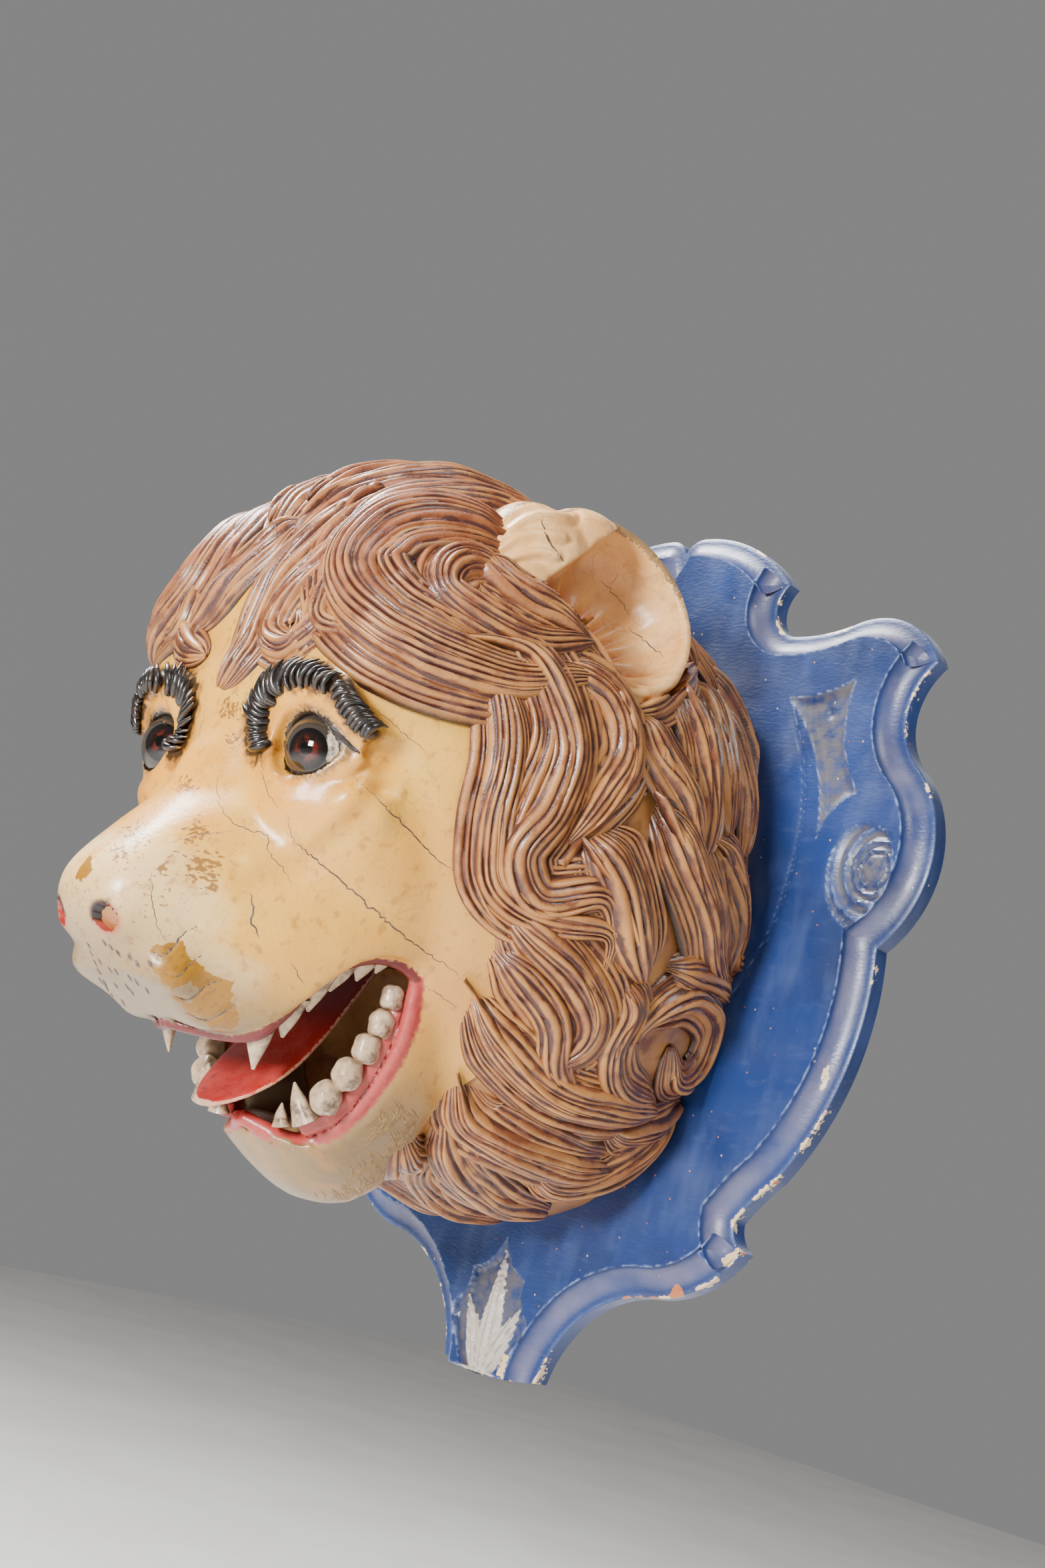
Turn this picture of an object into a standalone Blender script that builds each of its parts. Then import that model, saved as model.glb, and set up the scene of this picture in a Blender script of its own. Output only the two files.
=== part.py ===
"""Lion head wall mask: a carved and painted wooden head on a shaped, cove-edged backboard.

Metres, +Z up. The back of the board lies in the plane Y = 0 against the wall, the head
looks along -Y, and +X is the lion's left. The origin is the middle of the board's back.
"""
import math

import bmesh
import bpy
from mathutils import Vector
from mathutils.bvhtree import BVHTree

# Backboard
BOARD_HEIGHT = 0.726
BOARD_HALF_WIDTH = 0.318
EDGE_THICKNESS = 0.014
FIELD_THICKNESS = 0.028
COVE_WIDTH = 0.021
COVE_STEPS = 3
ARC_STEP = 0.030

# Carving on the board
PANEL_DEPTH = 0.003
SCROLL_HEIGHT = 0.070
SCROLL_GROOVE = 0.0036
SCROLL_TURNS = 2.2
SCROLL_START = -100
SCROLL_FLATNESS = 0.86
LEAF_HEIGHT = 0.100
LEAF_RELIEF = 0.005

# Head, measured from the board's face
HEAD_HEIGHT = 0.525
HEAD_HALF_WIDTH = 0.208
HEAD_PROJECTION = 0.484
SEAT_GAP = 0.0003

# Eyes, let into round sockets
EYE_DIAMETER = 0.052
SOCKET_CLEARANCE = 0.0004

# Tongue, a flat plate let into the back of the mouth
TONGUE_WIDTH = 0.076
TONGUE_THICKNESS = 0.009
TONGUE_CLEARANCE = 0.0004

# Fineness of the carving, which follows the head's size
CLAY_VOXEL = HEAD_HEIGHT / 105
CLAY_SMOOTHING = 9
SKULL_VOXEL = HEAD_HEIGHT / 131
SKULL_SMOOTHING = 3
CARVE_VOXEL = HEAD_HEIGHT / 146
HEAD_FACES = 6200

# The head's forms are drawn on a grid that is this many steps from its middle to its side,
# from the board's face to the nose, and from top to bottom, with the board's face at the last
DRAWING = (208, 484, 525, 28)


def head_point(x, depth, z):
    """Place on the head, from the drawing's width, depth off the wall and height."""
    across, out, up, face = DRAWING
    return Vector((
        x * HEAD_HALF_WIDTH / across,
        -FIELD_THICKNESS - (depth - face) * HEAD_PROJECTION / out,
        z * HEAD_HEIGHT / up,
    ))


# Mesh helpers

def object_from_bmesh(name, bm):
    """Object with the given bmesh, its faces turned outwards."""
    bmesh.ops.recalc_face_normals(bm, faces=bm.faces)
    mesh = bpy.data.meshes.new(name)
    bm.to_mesh(mesh)
    bm.free()
    obj = bpy.data.objects.new(name, mesh)
    bpy.context.scene.collection.objects.link(obj)
    return obj


def add_rings(bm, rings, cap_start=True, cap_end=True):
    """Skin a list of closed rings of points, all with the same count, and cap the ends."""
    rows = [[bm.verts.new(point) for point in ring] for ring in rings]
    count = len(rows[0])
    for low, high in zip(rows, rows[1:]):
        for i in range(count):
            j = (i + 1) % count
            bm.faces.new((low[i], low[j], high[j], high[i]))
    if cap_start:
        bm.faces.new(rows[0])
    if cap_end:
        bm.faces.new(rows[-1][::-1])


def rings_object(name, rings):
    """Closed object skinned over rings of points."""
    bm = bmesh.new()
    add_rings(bm, rings)
    return object_from_bmesh(name, bm)


def ellipsoid(name, centre, radii, tilt=0.0, sides=24):
    """Ball stretched to radii in x, depth and z, then tipped forward by tilt degrees."""
    bm = bmesh.new()
    bmesh.ops.create_uvsphere(bm, u_segments=sides, v_segments=sides // 2, radius=1.0)
    turn = math.radians(tilt)
    for vert in bm.verts:
        x = vert.co.x * radii[0]
        out = vert.co.y * radii[1]
        up = vert.co.z * radii[2]
        depth = out * math.cos(turn) + up * math.sin(turn)
        rise = up * math.cos(turn) - out * math.sin(turn)
        vert.co = head_point(centre[0] + x, centre[1] + depth, centre[2] + rise)
    return object_from_bmesh(name, bm)


def superellipse(half_x, half_y, power, count):
    """Points round an oval whose power squares its corners."""
    points = []
    for i in range(count):
        angle = 2 * math.pi * i / count
        cosine = math.cos(angle)
        sine = math.sin(angle)
        points.append((
            half_x * math.copysign(abs(cosine) ** (2 / power), cosine),
            half_y * math.copysign(abs(sine) ** (2 / power), sine),
        ))
    return points


def both_sides(objects):
    """Mirror copies of the lion's left-hand objects, on its right."""
    copies = []
    for obj in objects:
        mesh = obj.data.copy()
        for vert in mesh.vertices:
            vert.co.x = -vert.co.x
        mesh.flip_normals()
        copy = bpy.data.objects.new(obj.name + "_right", mesh)
        bpy.context.scene.collection.objects.link(copy)
        copies.append(copy)
    return list(objects) + copies


def join(name, objects):
    """One object with the meshes of all the given ones, which are removed."""
    bm = bmesh.new()
    for obj in objects:
        bm.from_mesh(obj.data)
        bpy.data.objects.remove(obj)
    mesh = bpy.data.meshes.new(name)
    bm.to_mesh(mesh)
    bm.free()
    result = bpy.data.objects.new(name, mesh)
    bpy.context.scene.collection.objects.link(result)
    return result


def settle(obj):
    """Replace an object's mesh by its evaluated one, with the modifiers gone."""
    bpy.context.view_layer.update()
    graph = bpy.context.evaluated_depsgraph_get()
    mesh = bpy.data.meshes.new_from_object(obj.evaluated_get(graph))
    obj.modifiers.clear()
    obj.data = mesh
    return obj


def fuse(obj, voxel, smoothing=0):
    """Fuse overlapping closed forms into one skin, and soften its creases."""
    remesh = obj.modifiers.new("fuse", "REMESH")
    remesh.mode = "VOXEL"
    remesh.voxel_size = voxel
    if smoothing:
        soften = obj.modifiers.new("soften", "SMOOTH")
        soften.iterations = smoothing
    return settle(obj)


def cut(obj, cutters, operation="DIFFERENCE"):
    """Boolean each cutter into the object, and remove the cutters."""
    for cutter in cutters:
        modifier = obj.modifiers.new(cutter.name, "BOOLEAN")
        modifier.operation = operation
        modifier.object = cutter
        settle(obj)
        bpy.data.objects.remove(cutter)
    return obj


# Backboard

# Corners of the right half, top to bottom, in shares of the half width and the height
# from the middle, each with the bow of the arc that leads on from it, as a share of its chord
BOARD_CORNERS = (
    (0.000, 0.478, 0.15),
    (0.057, 0.495, 0.11),
    (0.393, 0.428, -0.30),
    (0.440, 0.364, -0.05),
    (0.629, 0.375, 0.20),
    (0.903, 0.328, -0.22),
    (0.906, 0.212, 0.22),
    (0.899, 0.017, 0.10),
    (0.755, -0.233, -0.03),
    (0.664, -0.281, -0.15),
    (0.708, -0.309, 0.12),
    (0.456, -0.377, -0.16),
    (0.167, -0.496, 0.0),
)
TAIL_BOW = 0.006
MITRE_LIMIT = 0.35


def arc_points(start, end, bow, step):
    """Points from start up to end, which is left out, on an arc bowed to the left if positive."""
    ax, az = start
    bx, bz = end
    chord = math.hypot(bx - ax, bz - az)
    if abs(bow) < 1e-6:
        count = max(1, round(chord / step))
        return [(ax + (bx - ax) * i / count, az + (bz - az) * i / count) for i in range(count)]
    half = 2 * math.atan(2 * bow)
    radius = chord / (2 * math.sin(half))
    count = max(2, round(abs(2 * half * radius) / step))
    along = ((bx - ax) / chord, (bz - az) / chord)
    across = (-along[1], along[0])
    points = []
    for i in range(count):
        angle = -half + 2 * half * i / count
        run = chord / 2 + radius * math.sin(angle)
        rise = radius * (math.cos(angle) - math.cos(half))
        points.append((
            ax + along[0] * run + across[0] * rise,
            az + along[1] * run + across[1] * rise,
        ))
    return points


def board_half_outline():
    """Right half of the board's outline, clockwise from the top notch to the tail's corner."""
    corners = [(x * BOARD_HALF_WIDTH, z * BOARD_HEIGHT, bow) for x, z, bow in BOARD_CORNERS]
    points = []
    for (ax, az, bow), (bx, bz, _) in zip(corners, corners[1:]):
        points += arc_points((ax, az), (bx, bz), bow, ARC_STEP)
    points.append(corners[-1][:2])
    return [Vector(point) for point in points]


def inset_half(points, distance):
    """Half outline moved inwards, mitred at its corners and running off the tail's flat end."""
    moved = []
    before = Vector((-points[1].x, points[1].y))
    for here, after in zip(points, points[1:]):
        first = (here - before).normalized()
        second = (after - here).normalized()
        inward = Vector((first.y, -first.x))
        bisector = (inward + Vector((second.y, -second.x))).normalized()
        moved.append(here + bisector * distance / max(MITRE_LIMIT, bisector.dot(inward)))
        before = here
    corner = points[-1]
    share = (corner.x - distance) / corner.x
    moved.append(Vector((corner.x * share, corner.y - TAIL_BOW * (1 - share ** 2))))
    return moved


def board_ring(points, distance, depth):
    """The whole outline at one inset and one depth off the wall."""
    half = inset_half(points, distance)
    middle = [Vector((0, points[-1].y - TAIL_BOW))]
    left = [Vector((-point.x, point.y)) for point in half[:0:-1]]
    return [Vector((p.x, -depth, p.y)) for p in half + middle + left]


def prism(name, outline, low, high):
    """Straight block of an outline in the board's plane, between two depths off the wall."""
    return rings_object(name, [
        [Vector((p[0], -low, p[1])) for p in outline],
        [Vector((p[0], -high, p[1])) for p in outline],
    ])


def cusped_outline(corners, step):
    """Closed outline of arcs between corners, each given with its own bow."""
    points = []
    for (ax, az, bow), (bx, bz, _) in zip(corners, corners[1:] + corners[:1]):
        points += arc_points((ax, az), (bx, bz), bow, step)
    return points


# Corners of the sunk panel and of the leaf's ground, drawn in shares as the board's are
PANEL_CORNERS = (
    (0.506, 0.285, -0.08),
    (0.708, 0.306, -0.12),
    (0.780, 0.176, -0.14),
    (0.689, 0.125, -0.10),
)
LEAF_CORNERS = (
    (0.000, 0.00, -0.16),
    (0.094, 0.30, -0.18),
    (0.135, 0.61, 0.06),
    (0.040, 1.15, 0.0),
)
LEAF_TOP = -0.352
SCROLL_CENTRE = (0.868, 0.091)

# Blades of the leaf: foot and tip off the middle, drop of the tip, half width
LEAF_BLADES = (
    (0.000, 0.000, 0.09, 0.042),
    (0.010, 0.083, 0.52, 0.034),
)


def leaf_ground():
    """Outline of the sunk ground round the leaf, which runs off the tail's flat end."""
    corners = [
        (x * BOARD_HALF_WIDTH, LEAF_TOP * BOARD_HEIGHT - z * LEAF_HEIGHT, bow)
        for x, z, bow in LEAF_CORNERS
    ]
    half = cusped_outline(corners, ARC_STEP / 2)
    last = next(i for i, point in enumerate(half) if point[1] == corners[-1][1])
    half = half[:last + 1]
    return half + [(-x, z) for x, z in half[:0:-1]]


def leaf_blades():
    """Three ribbed blades that fan up from the tail's end."""
    blades = []
    end = LEAF_TOP * BOARD_HEIGHT - LEAF_HEIGHT * 1.08
    for foot, tip, top, width in LEAF_BLADES:
        for side in ((1,) if tip == 0 else (1, -1)):
            start = Vector((side * foot * BOARD_HALF_WIDTH, end))
            finish = Vector((side * tip * BOARD_HALF_WIDTH,
                             LEAF_TOP * BOARD_HEIGHT - top * LEAF_HEIGHT))
            along = (finish - start).normalized()
            across = Vector((-along.y, along.x))
            rings = []
            for i in range(7):
                share = i / 6
                half = width * BOARD_HALF_WIDTH * (0.30 + 0.70 * math.sin(math.pi * share ** 1.3))
                half *= 1 if i < 6 else 0.15
                spine = start.lerp(finish, share)
                crown = LEAF_RELIEF * (0.4 + 0.6 * math.sin(math.pi * min(1, 0.25 + share)))
                low = FIELD_THICKNESS - LEAF_RELIEF - 0.002
                ring = [(-1, low), (1, low), (1, low + 0.003)]
                ring += [(0.45, low + 0.002 + crown), (0, low + 0.002 + crown * 0.55)]
                ring += [(-0.45, low + 0.002 + crown), (-1, low + 0.003)]
                rings.append([
                    Vector(((spine + across * u * half).x, -depth, (spine + across * u * half).y))
                    for u, depth in ring
                ])
            blades.append(rings_object("blade", rings))
    return blades


def scroll_groove(side):
    """Spiral groove of a scroll, winding in from the foot of the bulge."""
    centre = Vector((SCROLL_CENTRE[0] * BOARD_HALF_WIDTH, SCROLL_CENTRE[1] * BOARD_HEIGHT))
    outer = SCROLL_HEIGHT * 0.55
    inner = SCROLL_HEIGHT * 0.13
    steps = 30
    rings = []
    for i in range(steps + 1):
        share = i / steps
        angle = math.radians(SCROLL_START) - 2 * math.pi * SCROLL_TURNS * share
        radius = outer * (inner / outer) ** share
        width = SCROLL_GROOVE * (1.15 - 0.55 * share)
        out = Vector((math.cos(angle) * SCROLL_FLATNESS, math.sin(angle)))
        ring = []
        for across, depth in ((-width, 0.002), (width, 0.002), (0, -width)):
            place = centre + out * (radius + across)
            ring.append(Vector((side * place.x, -FIELD_THICKNESS - depth, place.y)))
        rings.append(ring)
    return rings_object("scroll", rings)


def make_backboard():
    """Shaped board with a hollow edge, sunk panels, scrolls and a leaf at the tail."""
    outline = board_half_outline()
    rings = [board_ring(outline, 0, 0), board_ring(outline, 0, EDGE_THICKNESS)]
    rise = FIELD_THICKNESS - EDGE_THICKNESS
    for i in range(1, COVE_STEPS + 1):
        angle = math.pi / 2 * i / COVE_STEPS
        depth = EDGE_THICKNESS + rise * (1 - math.cos(angle))
        rings.append(board_ring(outline, COVE_WIDTH * math.sin(angle), depth))
    board = rings_object("backboard", rings)
    cutters = []
    for side in (1, -1):
        corners = [(side * x * BOARD_HALF_WIDTH, z * BOARD_HEIGHT, side * bow)
                   for x, z, bow in PANEL_CORNERS]
        panel = cusped_outline(corners, ARC_STEP)
        cutters.append(prism("panel", panel, FIELD_THICKNESS - PANEL_DEPTH, FIELD_THICKNESS + 0.01))
        cutters.append(scroll_groove(side))
    cutters.append(prism("ground", leaf_ground(), FIELD_THICKNESS - LEAF_RELIEF, FIELD_THICKNESS + 0.01))
    cut(board, cutters)
    cut(board, leaf_blades(), "UNION")
    return board


# Head

# Sections of the mane's mass: depth, half width, bottom, top
MANE_SECTIONS = (
    (10, 160, -238, 232),
    (28, 166, -240, 236),
    (60, 184, -244, 244),
    (110, 198, -242, 252),
    (170, 204, -228, 262),
    (230, 198, -190, 272),
    (280, 184, -146, 276),
    (330, 164, -92, 270),
    (370, 150, -35, 247),
    (400, 136, 0, 222),
    (418, 116, 28, 192),
    (430, 74, 70, 150),
)
MANE_SQUARENESS = 2.15

# Sections of the face behind the muzzle: depth, half width, bottom, top
FACE_SECTIONS = (
    (200, 120, -180, 122),
    (250, 131, -170, 132),
    (300, 139, -130, 136),
    (345, 136, -112, 138),
    (368, 130, -100, 137),
    (388, 123, -86, 134),
    (405, 114, -70, 127),
    (420, 100, -50, 114),
    (430, 82, -26, 98),
    (437, 56, 4, 80),
)
FACE_SQUARENESS = 2.6

# Sections of the muzzle: depth, half width, bottom, top
MUZZLE_SECTIONS = (
    (290, 128, -150, 66),
    (330, 123, -160, 64),
    (360, 113, -176, 58),
    (385, 101, -182, 48),
    (408, 87, -182, 32),
    (430, 73, -174, 10),
    (450, 62, -160, -14),
    (468, 55, -146, -36),
    (484, 47, -135, -56),
    (495, 39, -125, -70),
    (503, 27, -114, -83),
    (507, 12, -105, -92),
)
MUZZLE_SQUARENESS = 2.3

# Sections of the lower jaw: height, half width, back, front
JAW_SECTIONS = (
    (-70, 116, 190, 335),
    (-100, 115, 190, 335),
    (-139, 110, 190, 332),
    (-175, 99, 190, 330),
    (-206, 82, 190, 328),
    (-222, 68, 190, 323),
    (-235, 58, 192, 308),
    (-248, 45, 198, 290),
    (-259, 28, 210, 272),
    (-265, 12, 228, 256),
)
JAW_SQUARENESS = 2.6

# Side view of the open mouth, depth and height, from its corner along the lower lip and back
GAPE = (
    (285, -97),
    (279, -120),
    (277, -150),
    (277, -180),
    (280, -206),
    (288, -223),
    (302, -228),
    (321, -223),
    (345, -214),
    (530, -214),
    (530, -136),
    (455, -151),
    (433, -160),
    (407, -171),
    (386, -169),
    (370, -156),
    (354, -120),
    (340, -101),
    (322, -91),
    (300, -90),
)
GAPE_HALF_WIDTH = 200

# Hollow of the lower jaw: height, half width, back, front
HOLLOW_SECTIONS = (
    (-84, 84, 215, 320),
    (-110, 96, 208, 330),
    (-140, 92, 205, 340),
    (-172, 79, 205, 345),
    (-196, 62, 210, 345),
    (-210, 46, 222, 345),
)

# Hollow under the palate: depth, half width, bottom, top
PALATE_SECTIONS = (
    (235, 84, -140, -98),
    (300, 92, -150, -82),
    (330, 85, -190, -90),
    (352, 72, -200, -108),
    (370, 54, -200, -132),
    (388, 36, -200, -148),
    (408, 18, -200, -158),
)
HOLLOW_SQUARENESS = 3.6

# Soft swellings of the face: name, centre in x, depth, height, radii the same way, tilt
FACE_FORMS = (
    ("brow", (84, 404, 84), (44, 30, 28), -10),
    ("cheekbone", (104, 374, -2), (32, 36, 22), 0),
    ("wing", (28, 478, -117), (16, 18, 14), 0),
    ("pad", (32, 442, -140), (32, 26, 22), 0),
)
BRIDGE_FORMS = (
    ("bridge", (0, 420, 0), (36, 30, 56), -14),
)
NOSTRIL = ((27, 492, -118), (8, 14, 9), 30)

# Rolls of the face: name, radius, then the places it runs through in x, depth and height
FACE_ROLLS = (
    ("brow_roll", 11, (
        (48, 420, 26), (55, 428, 62), (86, 430, 85), (118, 417, 74), (138, 396, 44))),
    ("upper_lid", 5, (
        (58, 409, 22), (66, 421, 48), (88, 426, 58), (110, 415, 48), (124, 400, 30))),
    ("lower_lid", 5, (
        (58, 409, 20), (67, 412, 6), (88, 411, 1), (110, 404, 10), (124, 399, 28))),
    ("upper_lip", 5, (
        (107, 285, -99), (104, 306, -92), (97, 328, -96), (86, 350, -114), (70, 366, -150),
        (58, 373, -165), (34, 385, -170), (0, 405, -170))),
    ("lower_lip", 6, (
        (107, 286, -99), (102, 280, -139), (88, 280, -174), (68, 283, -205), (48, 288, -222),
        (28, 302, -226), (0, 322, -219))),
    ("gum", 10, (
        (92, 283, -108), (89, 285, -140), (79, 286, -172), (64, 294, -200), (46, 303, -216))),
)

# Teeth: place of the root in x, depth and height, radius, length down (or up if negative)
TEETH = (
    ((52, 360, -160), 10, 27),
    ((68, 352, -144), 9, 18),
    ((78, 345, -123), 9, 18),
    ((85, 334, -107), 8, 17),
    ((90, 320, -96), 8, 16),
    ((94, 307, -89), 7, 14),
    ((12, 404, -160), 7, 12),
    ((32, 390, -160), 7, 12),
    ((46, 312, -222), 9, -26),
    ((26, 312, -228), 7, -14),
    ((9, 320, -226), 6, -14),
)
MOLARS = (
    ((60, 316, -206), 11),
    ((71, 308, -191), 11),
    ((81, 302, -173), 10),
    ((88, 297, -153), 10),
    ((92, 293, -134), 9),
    ((95, 292, -115), 7),
)

EYE_CENTRE = (87, 404, 29)
ORBIT = ((89, 426, 29), (30, 20, 27))

# The ear's rim: its middle, the way it faces, its radii, and how far the cup is hollowed
EAR_CENTRE = (155, 234, 202)
EAR_FACING = (0.91, 0.20, 0.33)
EAR_RADIUS = 72
EAR_DEPTH = 88
EAR_WALL = 8
EAR_FRONT = (146, 302, 190)
EAR_FOOT = (184, 217, 136)
EAR_FOLD = (133, 230, 265)
EAR_FLAP = ((112, 282, 214), (40, 54, 48))

# Line of the tongue down the middle of the mouth, depth and height, from root to tip
TONGUE_LINE = ((256, -72), (277, -110), (300, -150), (326, -190), (348, -207), (374, -212))

# Locks of one side: half width, then places as degrees round from the front and up
MANE_MIDDLE = (0, 150, 20)
LOCK_HEIGHT = 0.85
LOCK_SPREAD = 0.90
LOCKS = (
    (25, ((48, 43), (32, 43), (20, 35), (18, 25), (27, 18), (42, 20), (58, 28))),
    (18, ((44, 36), (32, 33), (31, 26), (44, 27), (56, 34))),
    (22, ((50, 72), (22, 58), (9, 43), (3, 31))),
    (20, ((40, 58), (26, 48), (17, 38), (15, 28))),
    (11, ((13, 25), (17, 21), (14, 16), (8, 14))),
    (22, ((28, 16), (43, 22), (54, 15), (53, 3), (50, -6), (56, -13), (69, -9), (77, -18))),
    (14, ((38, 18), (48, 12), (46, 0), (46, -8), (54, -16))),
    (17, ((46, 27), (61, 27), (68, 18), (65, 8), (60, -2))),
    (20, ((30, 11), (38, 8), (42, -3), (47, -12), (60, -16), (74, -15), (77, -23))),
    (18, ((68, 30), (76, 22), (86, 16), (94, 8))),
    (17, ((82, 44), (91, 32), (95, 20), (96, 6))),
    (15, ((98, 52), (106, 42), (106, 28), (106, 14))),
    (13, ((112, 50), (118, 38), (119, 24), (116, 12))),
    (22, ((62, 4), (73, -6), (79, -14), (87, -22))),
    (20, ((76, 16), (90, 5), (101, -4), (108, -12), (118, -16))),
    (15, ((98, 14), (112, 6), (119, -3), (122, -12))),
    (11, ((122, 2), (128, -6), (123, -10), (118, -5))),
    (20, ((44, -15), (55, -18), (69, -24), (79, -31), (80, -38), (73, -43))),
    (18, ((46, -23), (58, -27), (70, -34), (76, -42), (87, -47))),
    (20, ((47, -31), (60, -40), (76, -46), (96, -46), (117, -42))),
    (16, ((78, -20), (87, -27), (87, -35), (96, -42), (112, -41))),
    (14, ((98, -38), (95, -28), (104, -21), (118, -22), (124, -30), (116, -36), (107, -31))),
    (15, ((92, -18), (104, -17), (116, -16), (125, -17))),
    (20, ((52, -50), (62, -60), (80, -61), (100, -60), (122, -54))),
    (18, ((50, -58), (64, -70), (110, -75), (144, -66))),
    (16, ((44, -60), (46, -74), (150, -84), (170, -70))),
    (14, ((104, -50), (118, -46), (130, -38))),
    (22, ((70, 80), (92, 64), (104, 52))),
    (20, ((20, 82), (120, 80), (136, 62), (140, 52))),
    (18, ((0, 84), (160, 82), (168, 66), (166, 58))),
)
CENTRE_LOCKS = (
    (20, ((0, 78), (2, 60), (-2, 44), (1, 32))),
    (12, ((7, 34), (2, 25), (0, 17), (0, 10))),
)


def level_ring(section, power, count=28):
    """Oval ring across the head at one depth."""
    depth, half, bottom, top = section
    middle = (bottom + top) / 2
    return [
        head_point(x, depth, middle + z)
        for x, z in superellipse(half, (top - bottom) / 2, power, count)
    ]


def flat_ring(section, power, count=28):
    """Oval ring across the head at one height."""
    height, half, back, front = section
    middle = (back + front) / 2
    return [
        head_point(x, middle + y, height)
        for x, y in superellipse(half, (front - back) / 2, power, count)
    ]


def depth_loft(name, sections, power):
    """Closed form through sections across the head at rising depths."""
    return rings_object(name, [level_ring(section, power) for section in sections])


def height_loft(name, sections, power):
    """Closed form through sections across the head at falling heights."""
    return rings_object(name, [flat_ring(section, power) for section in sections])


def gape_block():
    """Block with the mouth's side view, right across the head."""
    return rings_object("gape", [
        [head_point(side * GAPE_HALF_WIDTH, depth, z) for depth, z in GAPE] for side in (-1, 1)
    ])


def make_skull():
    """The head's masses under the hair, with the mouth opened and hollowed out."""
    masses = [
        depth_loft("mane", MANE_SECTIONS, MANE_SQUARENESS),
        depth_loft("face", FACE_SECTIONS, FACE_SQUARENESS),
        height_loft("jaw", JAW_SECTIONS, JAW_SQUARENESS),
        depth_loft("muzzle", MUZZLE_SECTIONS, MUZZLE_SQUARENESS),
    ]
    masses += both_sides([ellipsoid(*form) for form in FACE_FORMS])
    masses += [ellipsoid(*form) for form in BRIDGE_FORMS]
    skull = fuse(join("skull", masses), CLAY_VOXEL, CLAY_SMOOTHING)
    orbits = both_sides([ellipsoid("orbit", *ORBIT)])
    cut(skull, orbits + [
        gape_block(),
        height_loft("hollow", HOLLOW_SECTIONS, HOLLOW_SQUARENESS),
        depth_loft("palate", PALATE_SECTIONS, HOLLOW_SQUARENESS),
    ])
    return fuse(skull, SKULL_VOXEL, SKULL_SMOOTHING)


def curve_through(points, steps):
    """Points of a smooth curve that runs through the given ones."""
    rows = [Vector(point) for point in points]
    rows = [2 * rows[0] - rows[1]] + rows + [2 * rows[-1] - rows[-2]]
    line = []
    for a, b, c, d in zip(rows, rows[1:], rows[2:], rows[3:]):
        for i in range(steps):
            t = i / steps
            line.append(0.5 * (
                2 * b + (c - a) * t + (2 * a - 5 * b + 4 * c - d) * t ** 2
                + (3 * b - a - 3 * c + d) * t ** 3
            ))
    line.append(rows[-2])
    return line


def roll(name, radius, points, sides=8):
    """Round bead along a curve through places on the head, with blunt ends."""
    line = [head_point(*point) for point in curve_through(points, 5)]
    size = head_point(radius, 0, 0).x
    rings = []
    for i, place in enumerate(line):
        ahead = line[min(i + 1, len(line) - 1)]
        behind = line[max(i - 1, 0)]
        along = (ahead - behind).normalized()
        side = along.cross(Vector((0, 1, 0.3))).normalized()
        up = side.cross(along)
        share = 0.6 if i in (0, len(line) - 1) else 1.0
        rings.append([
            place + size * share * (side * math.cos(turn) + up * math.sin(turn))
            for turn in (2 * math.pi * k / sides for k in range(sides))
        ])
    return rings_object(name, rings)


def tooth(place, radius, length):
    """Pointed tooth, which sinks a little into the gum above or below it."""
    rings = []
    for share, width in ((-0.35, 1.0), (0.0, 1.0), (0.55, 0.72), (1.0, 0.22)):
        rings.append([
            head_point(
                place[0] + radius * width * math.cos(2 * math.pi * i / 8),
                place[1] + radius * width * math.sin(2 * math.pi * i / 8),
                place[2] - length * share,
            )
            for i in range(8)
        ])
    return rings_object("tooth", rings)


def facing_frame():
    """The ear's own directions: across its rim, up its rim, and the way it faces."""
    facing = Vector((EAR_FACING[0], -EAR_FACING[1], EAR_FACING[2])).normalized()
    across = facing.cross(Vector((0, 0, 1))).normalized()
    return across, across.cross(facing), facing


def ear_ball(name, radius, depth, sink):
    """Half-flattened ball on the ear's axis, its middle sunk below the rim."""
    across, up, facing = facing_frame()
    middle = head_point(*EAR_CENTRE) - facing * sink
    bm = bmesh.new()
    bmesh.ops.create_uvsphere(bm, u_segments=20, v_segments=12, radius=1.0)
    for vert in bm.verts:
        x, y, z = vert.co
        vert.co = middle + across * x * radius + up * y * radius + facing * z * depth
    return object_from_bmesh(name, bm)


def facing_block(name, corner, first, second, way, reach):
    """Block with one face through a corner, spanned by two directions, and running one way."""
    return rings_object(name, [
        [corner + first * x * reach + second * y * reach + way * far
         for x, y in ((-1, -1), (1, -1), (1, 1), (-1, 1))]
        for far in (0, reach)
    ])


def make_ear():
    """Rounded shell of the ear, open at the side, and the cutter for its cup."""
    across, up, facing = facing_frame()
    size = head_point(1, 0, 0).x
    radius = EAR_RADIUS * size
    depth = EAR_DEPTH * size
    rim = head_point(*EAR_CENTRE)
    shell = ear_ball("ear", radius * 1.06, depth, depth * 0.30)
    cut(shell, [ellipsoid("flap", *EAR_FLAP)], "UNION")
    cut(shell, [facing_block("beyond", rim, across, up, facing, radius * 2)])
    cup = ear_ball("cup", radius - EAR_WALL * size, depth * 0.66, 0)
    front = head_point(*EAR_FRONT)
    for end in (EAR_FOOT, EAR_FOLD):
        line = (head_point(*end) - front).normalized()
        away = facing.cross(line).normalized()
        if away.dot(rim - front) > 0:
            away = -away
        cut(cup, [facing_block("side", front, line, facing, away, radius * 2)])
    return shell, cup


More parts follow.
